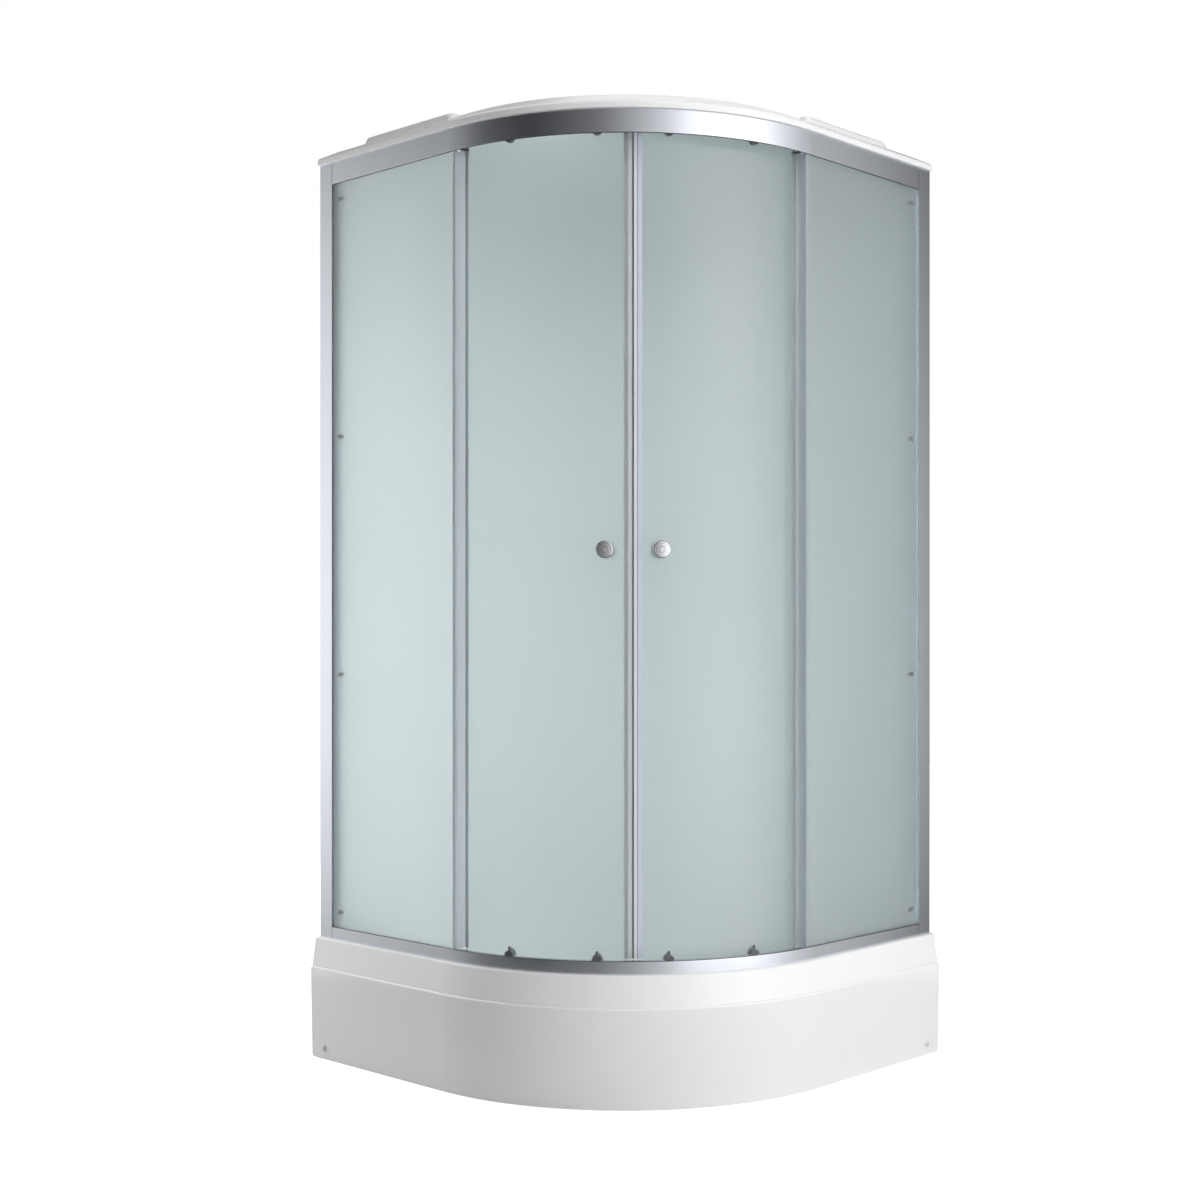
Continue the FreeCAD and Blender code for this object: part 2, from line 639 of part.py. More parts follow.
def edge_frame(x, y, turn):
    """A frame on a pane's edge: X into the pane, Z up."""
    return Placement(CENTRE + Vector(x, y, mm(visible_level)), Rotation(Vector(0, 0, 1), turn))


free_edge = edge_frame(mm(f"{FIXED_BACK} + glass_thickness / 2"), mm("-fixed_overlap"), 90)
keep_pair(edge_seal("right_fixed_seal", fin("fixed_fin_reach"), free_edge), "fixed_seal")


# Doors: curved panes. Everything on a door is placed by its angle from the diagonal.

DOOR_MIDDLE = f"({DOOR_FACE} - glass_thickness / 2)"
lead_angle = f"(door_lead / {DOOR_MIDDLE} * 180 / pi)"
knob_angle = f"(knob_arc / {DOOR_FACE} * 180 / pi)"
door_level = "(tray_height + door_foot)"
bracket_low = f"({UPPER_AXLE} - upper_rail_level - bracket_lift - bracket_width / 2)"
housing_middle = "(housing_rise - housing_height / 2)"
roller_angles = {"front": mm("front_roller_angle"), "rear": mm("rear_roller_angle")}


def bow_point(radius, angle):
    return f"{radius} * cos({angle} - 45)", f"{radius} * sin({angle} - 45)"


pane = new_body("right_pane")
pad(pane, [[
    bow_point(DOOR_FACE, lead_angle), (*bow_point(DOOR_FACE, "door_span_angle"), DOOR_FACE, "0", "0"),
    bow_point(DOOR_BACK, "door_span_angle"), (*bow_point(DOOR_BACK, lead_angle), DOOR_BACK, "0", "0"),
]], door_level, f"{UPPER_TOP} - door_head - {door_level}")

fixings = [(mm(knob_angle), "knob_level")]
for angle in roller_angles.values():
    fixings += [(angle, f"{UPPER_AXLE} - {bracket_low}"), (angle, f"{LOWER_TOP} + {housing_middle}")]
holes = [rod(f"glass_hole_{number}", radial(angle, f"{DOOR_BACK} - overrun", level), "glass_hole_radius",
             "glass_thickness + 2 * overrun") for number, (angle, level) in enumerate(fixings)]
keep_pair(cut("right_door_glass", pane, holes), "door_glass")

magnet = seal_slot + [("-magnet_reach", seal_outer), ("-magnet_reach", f"-{seal_outer}")]
for label, outline, angle, turn in (
    ("magnet_seal", magnet, mm(lead_angle), 0),
    ("rear_seal", fin("rear_fin_reach"), mm("door_span_angle"), 180),
):
    spot = radial(angle, DOOR_MIDDLE, visible_level).Base - CENTRE
    keep_pair(edge_seal(f"right_{label}", outline,
                        edge_frame(spot.x, spot.y, DIAGONAL + angle + 90 + turn)), label)

flip = Rotation(Vector(1, 0, 0), 180)
cap_screws = []
for number, (angle, level) in enumerate(fixings[1:]):
    spot = radial(angle, f"{DOOR_BACK} - bracket_gap", level)
    cap_screws.append(fuse(f"cap_screw_{number}", [
        dome(f"cap_{number}", shifted(spot, turn=flip), "cap_screw_radius", "cap_screw_rise"),
        rod(f"shank_{number}", spot, "shank_radius", "glass_thickness + 2 * bracket_gap"),
    ]))
keep_pair(group("right_bracket_screws", cap_screws), "bracket_screws")


# Knobs: a turned chrome knob outside, on a stud through the pane, and its twin inside.

def knob_profile(start):
    base, neck = "(bracket_gap + knob_base)", "(bracket_gap + knob_base + knob_neck)"
    face = f"({neck} + knob_thickness)"
    shoulder = "(knob_radius - knob_round)"
    crown_ball = f"(({shoulder} ^ 2 + knob_crown ^ 2) / (2 * knob_crown))"
    return start + [
        ("knob_base_radius", "bracket_gap"), ("knob_base_radius", base), ("knob_neck_radius", base),
        ("knob_neck_radius", neck), (shoulder, neck),
        ("knob_radius", f"{neck} + knob_round", "knob_round", shoulder, f"{neck} + knob_round"),
        ("knob_radius", f"{face} - knob_round"),
        (shoulder, face, "knob_round", shoulder, f"{face} - knob_round"),
        ("0", f"{face} + knob_crown", crown_ball, "0", f"{face} + knob_crown - {crown_ball}"),
    ]


stud_end = "-(glass_thickness + bracket_gap)"
knob_spot = radial(mm(knob_angle), DOOR_FACE, "knob_level")
outer_knob = new_body("right_outer_knob", knob_spot)
revolve(outer_knob, knob_profile([("0", stud_end), ("knob_stud_radius", stud_end),
                                  ("knob_stud_radius", "bracket_gap")]))
keep_pair(outer_knob, "outer_knob")
inner_knob = new_body("right_inner_knob", shifted(knob_spot, z="-glass_thickness", turn=flip))
revolve(inner_knob, knob_profile([("0", "bracket_gap")]))
keep_pair(inner_knob, "inner_knob")


# Rollers: brackets on the outside of the pane, wheels on their axles, and sprung pins below.

half = "bracket_width / 2"
bracket_face = "(bracket_gap + bracket_thickness)"
boss_end = f"({WHEEL_START} - wheel_slack)"
axle_end = f"({WHEEL_END} + axle_proud)"


def wheel(label, spot, radius, axle):
    """A plain-tread wheel on the frame's Z axis."""
    bore, flank = f"{axle} + axle_slack", f"{radius} - tread_bevel"
    body = new_body(label, spot)
    revolve(body, [
        (bore, WHEEL_START), (flank, WHEEL_START), (radius, f"{WHEEL_START} + tread_bevel"),
        (radius, f"{WHEEL_END} - tread_bevel"), (flank, WHEEL_END), (bore, WHEEL_END),
    ])
    return body


brackets, housings = [], []
for place, angle in roller_angles.items():
    spot = radial(angle, DOOR_FACE, UPPER_AXLE)
    low = f"-{bracket_low}"
    bracket = new_body(f"bracket_{place}", spot)
    pad(bracket, [[
        (half, "0"), ("0", half, half, "0", "0"), (f"-{half}", "0", half, "0", "0"), (f"-{half}", low),
        ("0", f"{low} - {half}", half, "0", low), (half, low, half, "0", low),
    ]], "bracket_gap", "bracket_thickness")
    pad(bracket, [{"radius": "boss_radius"}], bracket_face, f"{boss_end} - {bracket_face}")
    pad(bracket, [{"radius": "upper_axle_radius"}], bracket_face, f"{axle_end} - {bracket_face}")
    brackets.append(bracket)
    keep_pair(wheel(f"right_upper_wheel_{place}", spot, "upper_wheel_radius", "upper_axle_radius"),
              f"upper_wheel_{place}")

    spot = radial(angle, DOOR_FACE, LOWER_TOP)
    crown = "(housing_rise - bracket_width / 2)"
    foot = "(housing_rise - housing_height)"
    pin_depth = "(bracket_gap + housing_thickness / 2)"
    block = new_body(f"housing_block_{place}", spot)
    pad(block, [[
        (half, foot), (half, crown), ("0", f"{crown} + {half}", half, "0", crown),
        (f"-{half}", crown, half, "0", crown), (f"-{half}", foot),
    ]], "bracket_gap", "housing_thickness")
    upright = Rotation(Vector(1, 0, 0), -90)
    bore = rod(f"pin_bore_{place}", shifted(spot, y=f"{foot} - overrun", z=pin_depth, turn=upright),
               "pin_radius + axle_slack", "housing_height + 2 * overrun")
    housings.append(cut(f"housing_{place}", block, [bore]))

    carrier_top = f"({foot} - bracket_gap)"
    carrier_face = "(carrier_gap + carrier_thickness)"
    axle_drop = f"({LOWER_TOP} - {LOWER_AXLE})"
    carrier = new_body(f"carrier_{place}", spot)
    pad(carrier, [rectangle("-carrier_width / 2", f"{carrier_top} - carrier_height", "carrier_width / 2",
                            carrier_top)], "carrier_gap", "carrier_thickness")
    for radius, end in (("lower_boss_radius", boss_end), ("lower_axle_radius", axle_end)):
        pad(carrier, [{"radius": radius, "y": f"-{axle_drop}"}], carrier_face, f"{end} - {carrier_face}")
    pin = rod(f"pin_{place}", shifted(spot, y=carrier_top, z=pin_depth, turn=upright), "pin_radius",
              f"pin_rise - {carrier_top}")
    keep_pair(fuse(f"right_release_pin_{place}", [carrier, pin]), f"release_pin_{place}")
    axle_spot = radial(angle, DOOR_FACE, LOWER_AXLE)
    keep_pair(wheel(f"right_lower_wheel_{place}", axle_spot, "lower_wheel_radius", "lower_axle_radius"),
              f"lower_wheel_{place}")
keep_pair(group("right_upper_brackets", brackets), "upper_brackets")
keep_pair(group("right_lower_brackets", housings), "lower_brackets")


# Back walls: two panels on the tray's rear rim, and a flat column across their corner.

keep_pair(box("right_back_panel", (f"-{PANEL_FACE}", PANEL_FACE, "tray_height"),
              (f"{profile_back} + {PANEL_FACE}", "panel_thickness", profile_height)), "back_panel")

column_skew = "(column_wall / cos(45))"
column_skin = new_body("column_skin")
pad(column_skin, [[
    (f"-{PANEL_FACE}", f"{PANEL_FACE} - column_leg"), (f"column_leg - {PANEL_FACE}", PANEL_FACE),
    (f"column_leg - {PANEL_FACE} - {column_skew}", PANEL_FACE),
    (f"-{PANEL_FACE}", f"{PANEL_FACE} - column_leg + {column_skew}"),
]], "tray_height", profile_height)
mixer_spot = on_column("mixer_level")
diverter_spot = on_column("diverter_level")
inlet_sides = ("-inlet_spacing / 2", "inlet_spacing / 2")
through = "column_wall + 2 * overrun"
behind = "-column_wall - overrun"
column_holes = [rod("diverter_hole", shifted(diverter_spot, z=behind), "diverter_spindle + axle_slack",
                    through)]
for number, side in enumerate(inlet_sides):
    column_holes.append(rod(f"inlet_hole_{number}", shifted(mixer_spot, x=side, z=behind),
                            "inlet_radius + hole_slack", through))
keep(cut("corner_column", column_skin, column_holes))


# Mixer: a body with two inlets behind the column, a turning collar and a lever on a pin.

mixer_end = "(plate_height + mixer_length)"
mixer_core = new_body("mixer_core", mixer_spot)
revolve(mixer_core, [
    ("0", "0"), ("plate_radius", "0"), ("plate_radius", "plate_height - knob_round"),
    ("plate_radius - knob_round", "plate_height"), ("mixer_radius", "plate_height"),
    ("mixer_radius", mixer_end), ("spindle_radius", mixer_end),
    ("spindle_radius", f"{mixer_end} + spindle_length"), ("0", f"{mixer_end} + spindle_length"),
])
inlet_start = "(column_wall + hole_slack)"
inlets = []
for number, side in enumerate(inlet_sides):
    inlets += [
        rod(f"inlet_neck_{number}", shifted(mixer_spot, x=side, z=f"-{inlet_start}"), "inlet_neck_radius",
            f"{inlet_start} + plate_height / 2"),
        rod(f"inlet_{number}", shifted(mixer_spot, x=side, z=f"-{inlet_start} - inlet_length"),
            "inlet_radius", "inlet_length"),
    ]
keep(fuse("mixer_body", [mixer_core] + inlets))

collar_spot = shifted(mixer_spot, z=f"{mixer_end} + fitting_gap")
socket = "(spindle_radius + axle_slack)"
socket_end = "(spindle_length + fitting_gap)"
pivot = "(collar_length + lever_eye_radius + fitting_gap)"
ear_inner = "(lever_width / 2 + lever_slot)"
ear_outer = f"({ear_inner} + ear_thickness)"
collar = new_body("collar", collar_spot)
revolve(collar, [
    ("0", socket_end), (socket, socket_end), (socket, "0"), ("collar_radius", "0"),
    ("collar_radius", "collar_length"), ("0", "collar_length"),
])
pad(collar, [
    rectangle(ear_inner, "-lever_eye_radius", ear_outer, "lever_eye_radius"),
    rectangle(f"-{ear_outer}", "-lever_eye_radius", f"-{ear_inner}", "lever_eye_radius"),
], "collar_length", "2 * lever_eye_radius")


def across(label, radius, reach):
    """A rod along the lever's pivot, reaching as far to both sides."""
    spot = shifted(collar_spot, x=f"-({reach})", z=pivot, turn=outward)
    return rod(label, spot, radius, f"2 * ({reach})")


pivot_pin = across("pivot_pin", "lever_pin_radius", ear_outer)
keep(fuse("mixer_collar", [collar, pivot_pin]))

handle = new_body("handle", collar_spot)
pad(handle, [rectangle("-lever_width / 2", "0", "lever_width / 2", "lever_length")],
    f"{pivot} - lever_thickness / 2", "lever_thickness")
round_edges(handle, "lever_round",
            lambda edge: all(abs(vertex.Y - mm("lever_length")) < TOUCH for vertex in edge.Vertexes))
lever_blank = fuse("lever_blank", [handle, across("lever_eye", "lever_eye_radius", "lever_width / 2")])
lever_bore = across("lever_bore", "lever_pin_radius + axle_slack", "lever_width / 2 + overrun")
keep(cut("mixer_lever", lever_blank, [lever_bore]))

diverter = new_body("diverter_knob", diverter_spot)
spindle_end = "-(column_wall + overrun)"
revolve(diverter, [
    ("0", spindle_end), ("diverter_spindle", spindle_end), ("diverter_spindle", "fitting_gap"),
    ("diverter_radius", "fitting_gap"), ("diverter_radius", "diverter_length - knob_round"),
    ("diverter_radius - knob_round", "diverter_length", "knob_round", "diverter_radius - knob_round",
     "diverter_length - knob_round"),
    ("0", "diverter_length"),
])
keep(diverter)


# Overhead shower: a bent arm with a ball at its end, and a flat head that tilts on the ball.

def ball(label, spot, radius):
    sphere = doc.addObject("Part::Sphere", label)
    sphere.Label = label
    bind(sphere, Radius=radius)
    sphere.Placement = spot
    return sphere


arm_spot = on_column(f"{UPPER_TOP} - arm_below_top")
elbow = shifted(arm_spot, z="arm_reach")
ball_spot = Placement(shifted(elbow, y="-arm_drop").Base, Rotation())
keep(fuse("shower_arm", [
    rod("arm_flange", arm_spot, "arm_flange_radius", "arm_flange"),
    rod("arm_tube", arm_spot, "arm_radius", "arm_reach"),
    ball("arm_elbow", elbow, "arm_radius"),
    rod("arm_neck", ball_spot, "arm_neck_radius", "arm_drop"),
    ball("arm_ball", ball_spot, "ball_radius"),
]))
head_blank = new_body("head_blank", ball_spot)
socket_foot = "-socket_height / 2"
revolve(head_blank, [
    ("0", f"{socket_foot} - head_thickness"), ("head_radius - head_edge", f"{socket_foot} - head_thickness"),
    ("head_radius", f"{socket_foot} - head_thickness + head_edge"),
    ("head_radius", f"{socket_foot} - head_edge"), ("socket_radius", socket_foot),
    ("socket_radius", "socket_top"), ("0", "socket_top"),
])
keep(cut("shower_head", head_blank, [
    ball("socket_cavity", ball_spot, "ball_radius + ball_slack"),
    rod("socket_opening", ball_spot, "socket_mouth", "socket_top + overrun"),
]))


# Roof: a moulded cap with a sloping rim, a raised block along each front and a shallow dome.

deck_edge = f"({RIM} - rim_slope)"
rim_shoulder = f"({UPPER_TOP} + rim_lip)"
hump_outer = f"({RIM} - hump_inset)"
hump_inner = f"({hump_outer} - hump_width)"
hump_top = f"({DECK} + hump_rise)"
roof_skin = new_body("roof_skin")
pad(roof_skin, [quadrant(RIM, WALL)], UPPER_TOP, "rim_lip")
loft(roof_skin, "AdditiveLoft",
     (quadrant(RIM, WALL), rim_shoulder), (quadrant(deck_edge, WALL), DECK))


def hump(inset):
    """The block's plan on the right front, and its mirror image on the left front."""
    near, far = f"hump_start + ({inset})", f"{WALL} - hump_margin - ({inset})"
    inner, outer = f"{hump_inner} + ({inset})", f"{hump_outer} - ({inset})"
    return (rectangle(inner, near, outer, far),
            rectangle(f"-({far})", f"-({outer})", f"-({near})", f"-({inner})"))


for foot, crest in zip(hump("0"), hump("hump_draft")):
    loft(roof_skin, "AdditiveLoft", (foot, DECK), (crest, hump_top))
round_edges(roof_skin, "rim_round", lambda edge: at_level(edge, rim_shoulder) and on_front(edge, RIM))
round_edges(roof_skin, "hump_corner", lambda edge: sorted(round(vertex.Z, 3) for vertex in edge.Vertexes)
            == [round(mm(DECK), 3), round(mm(hump_top), 3)])
round_edges(roof_skin, "hump_round", lambda edge: at_level(edge, hump_top))
seat_height = "(rim_lip + (rim_height - rim_lip) * roof_seat / rim_slope - roof_wall)"
seat = quadrant(f"({RIM} - roof_seat)", f"({WALL} - roof_seat)")
pocket(roof_skin, [seat], UPPER_TOP, seat_height, upward=True)
loft(roof_skin, "SubtractiveLoft", (seat, f"{UPPER_TOP} + {seat_height}"),
     (quadrant(deck_edge, f"({WALL} - roof_seat)"), f"{DECK} - roof_wall"))
for foot, crest in zip(hump("hump_wall"), hump("hump_draft + hump_wall")):
    loft(roof_skin, "SubtractiveLoft", (foot, f"{DECK} - roof_wall"), (crest, f"{hump_top} - roof_wall"))
dome_spot = standing("-dome_offset", "dome_offset", DECK)
dome_ball = "((dome_radius ^ 2 + dome_rise ^ 2) / (2 * dome_rise))"
dome_skin = dome("dome_skin", dome_spot, "dome_radius", "dome_rise")
hollow_ball = f"({dome_ball} - roof_wall)"
dome_hollow = ball("dome_hollow", shifted(dome_spot, z=f"dome_rise - {dome_ball}"), hollow_ball)
bind(dome_hollow, Angle1=f"asin(({hollow_ball} - dome_rise - overrun) / {hollow_ball})")
keep(cut("roof", fuse("roof_blank", [roof_skin, dome_skin]), [dome_hollow]))

screw_line = f"({RAIL} - roof_screw_inset)"
screw_plans = {"side": (screw_line, f"{WALL} / 2"), "bow": bow_point(screw_line, "rear_roller_angle")}
roof_screws = []
for name, plan in screw_plans.items():
    screw = dome(f"roof_screw_{name}", shifted(standing(*plan, f"{UPPER_TOP} - rail_wall"), turn=flip),
                 "screw_head_radius", "screw_head_height")
    roof_screws += [screw, mirrored(screw, f"roof_screw_{name}_left")]
keep(group("roof_screws", roof_screws))


# Check every object, then write one file per piece.

doc.recompute()
for item in doc.Objects:
    if "Invalid" in item.State or "Error" in item.State:
        raise RuntimeError(f"{item.Label} failed: {item.State}")
for name, piece in nodes.items():
    if piece.Shape.isNull() or not piece.Shape.isValid() or not piece.Shape.Solids:
        raise RuntimeError(f"{name} has no valid solid")

os.makedirs("parts", exist_ok=True)
for name, piece in nodes.items():
    piece.Shape.exportStep(f"parts/{name}.step")
print(f"{len(nodes)} pieces written")
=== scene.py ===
import json
import math

import bmesh
import bpy
from mathutils import Matrix, Vector


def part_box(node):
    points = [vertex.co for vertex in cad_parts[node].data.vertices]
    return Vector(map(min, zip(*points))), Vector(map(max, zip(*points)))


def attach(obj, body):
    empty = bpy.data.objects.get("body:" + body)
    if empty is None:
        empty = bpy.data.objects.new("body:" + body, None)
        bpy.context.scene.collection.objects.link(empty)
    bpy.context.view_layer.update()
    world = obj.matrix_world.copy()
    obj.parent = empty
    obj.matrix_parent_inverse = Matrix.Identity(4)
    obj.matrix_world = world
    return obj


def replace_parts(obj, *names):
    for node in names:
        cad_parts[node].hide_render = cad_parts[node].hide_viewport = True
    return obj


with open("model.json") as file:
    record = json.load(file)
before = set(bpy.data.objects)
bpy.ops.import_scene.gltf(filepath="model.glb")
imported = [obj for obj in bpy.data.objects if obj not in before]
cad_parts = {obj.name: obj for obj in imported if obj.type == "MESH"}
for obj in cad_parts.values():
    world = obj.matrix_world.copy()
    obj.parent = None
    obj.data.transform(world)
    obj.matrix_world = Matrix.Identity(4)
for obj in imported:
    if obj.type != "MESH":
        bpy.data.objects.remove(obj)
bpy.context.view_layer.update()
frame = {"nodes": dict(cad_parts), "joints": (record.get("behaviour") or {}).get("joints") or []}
nodes = frame["nodes"]
joints = {joint["name"]: joint for joint in frame["joints"]}

# Base frame: four square steel tubes, welded into a grid that carries the basin and galvanised
# after welding. The zinc shows its crystals, and each corner keeps its weld beads.

zinc_pale = (0.46, 0.47, 0.48, 1)
zinc_dark = (0.30, 0.31, 0.33, 1)
zinc_smooth, zinc_rough = 0.34, 0.52
spangles_per_metre = 55
weld_radius = 0.0024
weld_ripple = 0.0004
weld_lumps = 9
weld_steps = 10
corner_signs = [(x_sign, y_sign) for x_sign in (-1, 1) for y_sign in (-1, 1)]


def place(tree, kind, inputs=None, **settings):
    """Add a node. Inputs are plain values, or sockets of other nodes to link."""
    made = tree.nodes.new(f"ShaderNode{kind}")
    for name, value in settings.items():
        setattr(made, name, value)
    for name, value in (inputs or {}).items():
        if isinstance(value, bpy.types.NodeSocket):
            tree.links.new(value, made.inputs[name])
        else:
            made.inputs[name].default_value = value
    return made


def object_point(tree):
    """The shaded point in its object's own frame, in metres."""
    return place(tree, "TexCoord").outputs["Object"]


def tint(tree, share, first, second):
    """The colour that lies between two others by share."""
    return place(tree, "Mix", {0: share, 6: first, 7: second}, data_type="RGBA").outputs[2]


def spread(tree, value, low, high, start=0.0, end=1.0):
    """A value that runs from start to end, mapped onto low to high."""
    return place(tree, "MapRange", {"Value": value, "From Min": start, "From Max": end,
                                    "To Min": low, "To Max": high}).outputs["Result"]


def new_finish(name, **values):
    """A material with one Principled shader; values set its sockets, with _ for a space."""
    finish = bpy.data.materials.new(name)
    finish.use_nodes = True
    shader = finish.node_tree.nodes["Principled BSDF"]
    for socket, value in values.items():
        shader.inputs[socket.replace("_", " ")].default_value = value
    return finish, finish.node_tree, shader


def feed(tree, shader, **sockets):
    """Link varying sockets into the shader."""
    for name, socket in sockets.items():
        tree.links.new(socket, shader.inputs[name.replace("_", " ")])


def dress(finish, *names):
    """Give CAD nodes their finish."""
    for name in names:
        for slot in nodes[name].material_slots:
            slot.material = finish


def skin(shape, rings, closed=False):
    """Faces from each ring of vertices to the next; a ring of one vertex is a pole."""
    for low, high in zip(rings, rings[1:]):
        count = max(len(low), len(high))
        for step in range(count):
            after = (step + 1) % count
            corners = (low[step % len(low)], low[after % len(low)],
                       high[after % len(high)], high[step % len(high)])
            shape.faces.new(list(dict.fromkeys(corners)))
    if closed:
        shape.faces.new(rings[0])
        shape.faces.new(rings[-1])


def round_spots(middle, radius, count):
    """Points spaced evenly round a middle, on its level."""
    turns = [2 * math.pi * number / count for number in range(count)]
    return [middle + Vector((radius * math.cos(turn), radius * math.sin(turn), 0))
            for turn in turns]


def lathe(shape, outline, steps, spot=Matrix()):
    """Turn (radius, height) points about the local Z axis; a zero radius closes an end."""
    rings = []
    for radius, height in outline:
        points = round_spots(Vector((0, 0, height)), radius, steps if radius else 1)
        rings.append([shape.verts.new(spot @ point) for point in points])
    skin(shape, rings)


def piece(name, shape, finish, body, sharp=40):
    """An object from a bmesh that wears a finish and rides on a body."""
    bmesh.ops.recalc_face_normals(shape, faces=shape.faces)
    mesh = bpy.data.meshes.new(name)
    shape.to_mesh(mesh)
    shape.free()
    mesh.shade_smooth()
    mesh.set_sharp_from_angle(angle=math.radians(sharp))
    mesh.materials.append(finish)
    made = bpy.data.objects.new(name, mesh)
    bpy.context.scene.collection.objects.link(made)
    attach(made, body)
    return made


galvanised, tree, shader = new_finish("galvanised_steel", Metallic=0.9)
crystals = place(tree, "TexVoronoi", {"Vector": object_point(tree), "Scale": spangles_per_metre})
crystal = place(tree, "SeparateColor", {"Color": crystals.outputs["Color"]}).outputs["Red"]
feed(tree, shader, Base_Color=tint(tree, crystal, zinc_dark, zinc_pale),
     Roughness=spread(tree, crystal, zinc_smooth, zinc_rough))
dress(galvanised, "base_frame")

frame_low, frame_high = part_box("base_frame")
tube = frame_high.z - frame_low.z
grid = frame_high.y - tube / 2
weld_run = [(weld_radius + weld_ripple * (-1) ** lump, tube * (lump + 1) / (weld_lumps + 1))
            for lump in range(weld_lumps)]
beads = bmesh.new()
for x_sign, y_sign in corner_signs:
    for side in (-1, 1):
        foot = Vector((x_sign * grid + side * tube / 2, y_sign * (grid - tube / 2), frame_low.z))
        lathe(beads, [(0, 0)] + weld_run + [(0, tube)], weld_steps, Matrix.Translation(foot))
piece("weld_beads", beads, galvanised, "cabin")


# Feet: zinc plated threaded rods that screw up into hexagon nuts on the frame, each on a round
# rubber pad with a rounded rim, so that the cabin can be levelled.

rubber_black = (0.022, 0.022, 0.024, 1)
rubber_worn = (0.045, 0.045, 0.046, 1)
plate_pale = (0.66, 0.67, 0.69, 1)
plate_dark = (0.50, 0.50, 0.52, 1)
drift_scale = 2.2
polish_scale = 26.0
grain_scale = 420.0
rod_radius = 0.006
thread_pitch = 0.00175
thread_depth = 0.0011
thread_rings = 6
thread_steps = 20
pad_radius = 0.025
pad_round = 0.003
pad_wall = 0.006
pad_shoulder = 0.0078
pad_boss = 0.011
pad_steps = 48


def noise(tree, where, scale, detail):
    """A noise texture's 0 to 1."""
    inputs = {"Vector": where, "Scale": scale, "Detail": detail}
    return place(tree, "TexNoise", inputs).outputs["Fac"]


def compute(tree, operation, first, second):
    """What a named operation makes of two numbers."""
    return place(tree, "Math", {0: first, 1: second}, operation=operation).outputs["Value"]


def emboss(tree, shader, height, depth):
    """Raise the surface by a height map, depth in metres."""
    bump = place(tree, "Bump", {"Height": height, "Distance": depth, "Strength": 1.0})
    feed(tree, shader, Normal=bump.outputs["Normal"])


def new_group(name, inputs, outputs):
    """A shader node group with named sockets, with its input and output nodes."""
    group = bpy.data.node_groups.new(name, "ShaderNodeTree")
    for way, sockets in (("INPUT", inputs), ("OUTPUT", outputs)):
        for socket, kind in sockets.items():
            group.interface.new_socket(name=socket, in_out=way, socket_type=f"NodeSocket{kind}")
    entry, way_out = group.nodes.new("NodeGroupInput"), group.nodes.new("NodeGroupOutput")
    return group, entry.outputs, way_out.inputs


# The skin of a moulding: a slow drift of tone, patches of polish, and a fine orange peel.
moulded_skin, given, result = new_group(
    "moulded_skin",
    {"Colour": "Color", "Shade": "Color", "Peel": "Float", "Smooth": "Float", "Rough": "Float"},
    {"Colour": "Color", "Roughness": "Float", "Height": "Float"})
where = object_point(moulded_skin)
drift = noise(moulded_skin, where, drift_scale, 2.0)
polish = noise(moulded_skin, where, polish_scale, 3.0)
peel = noise(moulded_skin, where, given["Peel"], 2.0)
moulded_skin.links.new(tint(moulded_skin, drift, given["Shade"], given["Colour"]), result["Colour"])
moulded_skin.links.new(spread(moulded_skin, polish, given["Smooth"], given["Rough"]),
                       result["Roughness"])
moulded_skin.links.new(peel, result["Height"])

# Drawn or brushed metal: lines that run along the piece, and a fine anodised grain between them.
drawn_metal, given, result = new_group(
    "drawn_metal",
    {"Pale": "Color", "Dark": "Color", "Stretch": "Vector", "Smooth": "Float", "Rough": "Float"},
    {"Colour": "Color", "Roughness": "Float", "Height": "Float"})
where = object_point(drawn_metal)
along = place(drawn_metal, "Mapping", {"Vector": where, "Scale": given["Stretch"]})
lines = noise(drawn_metal, along.outputs["Vector"], 1.0, 3.0)
grain = noise(drawn_metal, where, grain_scale, 2.0)
half = compute(drawn_metal, "MULTIPLY", compute(drawn_metal, "ADD", lines, grain), 0.5)
drawn_metal.links.new(tint(drawn_metal, half, given["Dark"], given["Pale"]), result["Colour"])
drawn_metal.links.new(spread(drawn_metal, half, given["Smooth"], given["Rough"]),
                      result["Roughness"])
drawn_metal.links.new(half, result["Height"])


def grouped(name, group, inputs, depth, **values):
    """A finish with a group's colour, roughness and relief; values are the shader's plain ones."""
    finish, tree, shader = new_finish(name, **values)
    outs = place(tree, "Group", inputs, node_tree=group).outputs
    feed(tree, shader, Base_Color=outs["Colour"], Roughness=outs["Roughness"])
    emboss(tree, shader, outs["Height"], depth)
    return finish


def moulded(name, colour, shade, peel, smooth, rough, depth, **values):
    """A moulding's finish."""
    inputs = {"Colour": colour, "Shade": shade, "Peel": peel, "Smooth": smooth, "Rough": rough}
    return grouped(name, moulded_skin, inputs, depth, **values)


def drawn(name, pale, dark, stretch, smooth, rough, depth, **values):
    """A drawn or brushed finish."""
    inputs = {"Pale": pale, "Dark": dark, "Stretch": stretch, "Smooth": smooth, "Rough": rough}
    return grouped(name, drawn_metal, inputs, depth, **values)


rubber = moulded("foot_rubber", rubber_worn, rubber_black, peel=700.0, smooth=0.6, rough=0.8,
                 depth=0.0002, Specular_IOR_Level=0.35)
zinc_plate = drawn("zinc_plate", plate_pale, plate_dark, stretch=(500.0, 500.0, 60.0), smooth=0.22,
                   rough=0.4, depth=0.00003, Metallic=1.0)
dress(zinc_plate, "foot_nuts")

rod_low, rod_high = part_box("foot_rods")
rods, pads = bmesh.new(), bmesh.new()
pad_outline = [
    (0, 0), (pad_radius - pad_round, 0), (pad_radius, pad_round), (pad_radius, pad_wall),
    (pad_radius - pad_round / 2, pad_shoulder), (pad_boss + pad_round, rod_low.z - pad_round / 3),
    (pad_boss, rod_low.z), (0, rod_low.z),
]


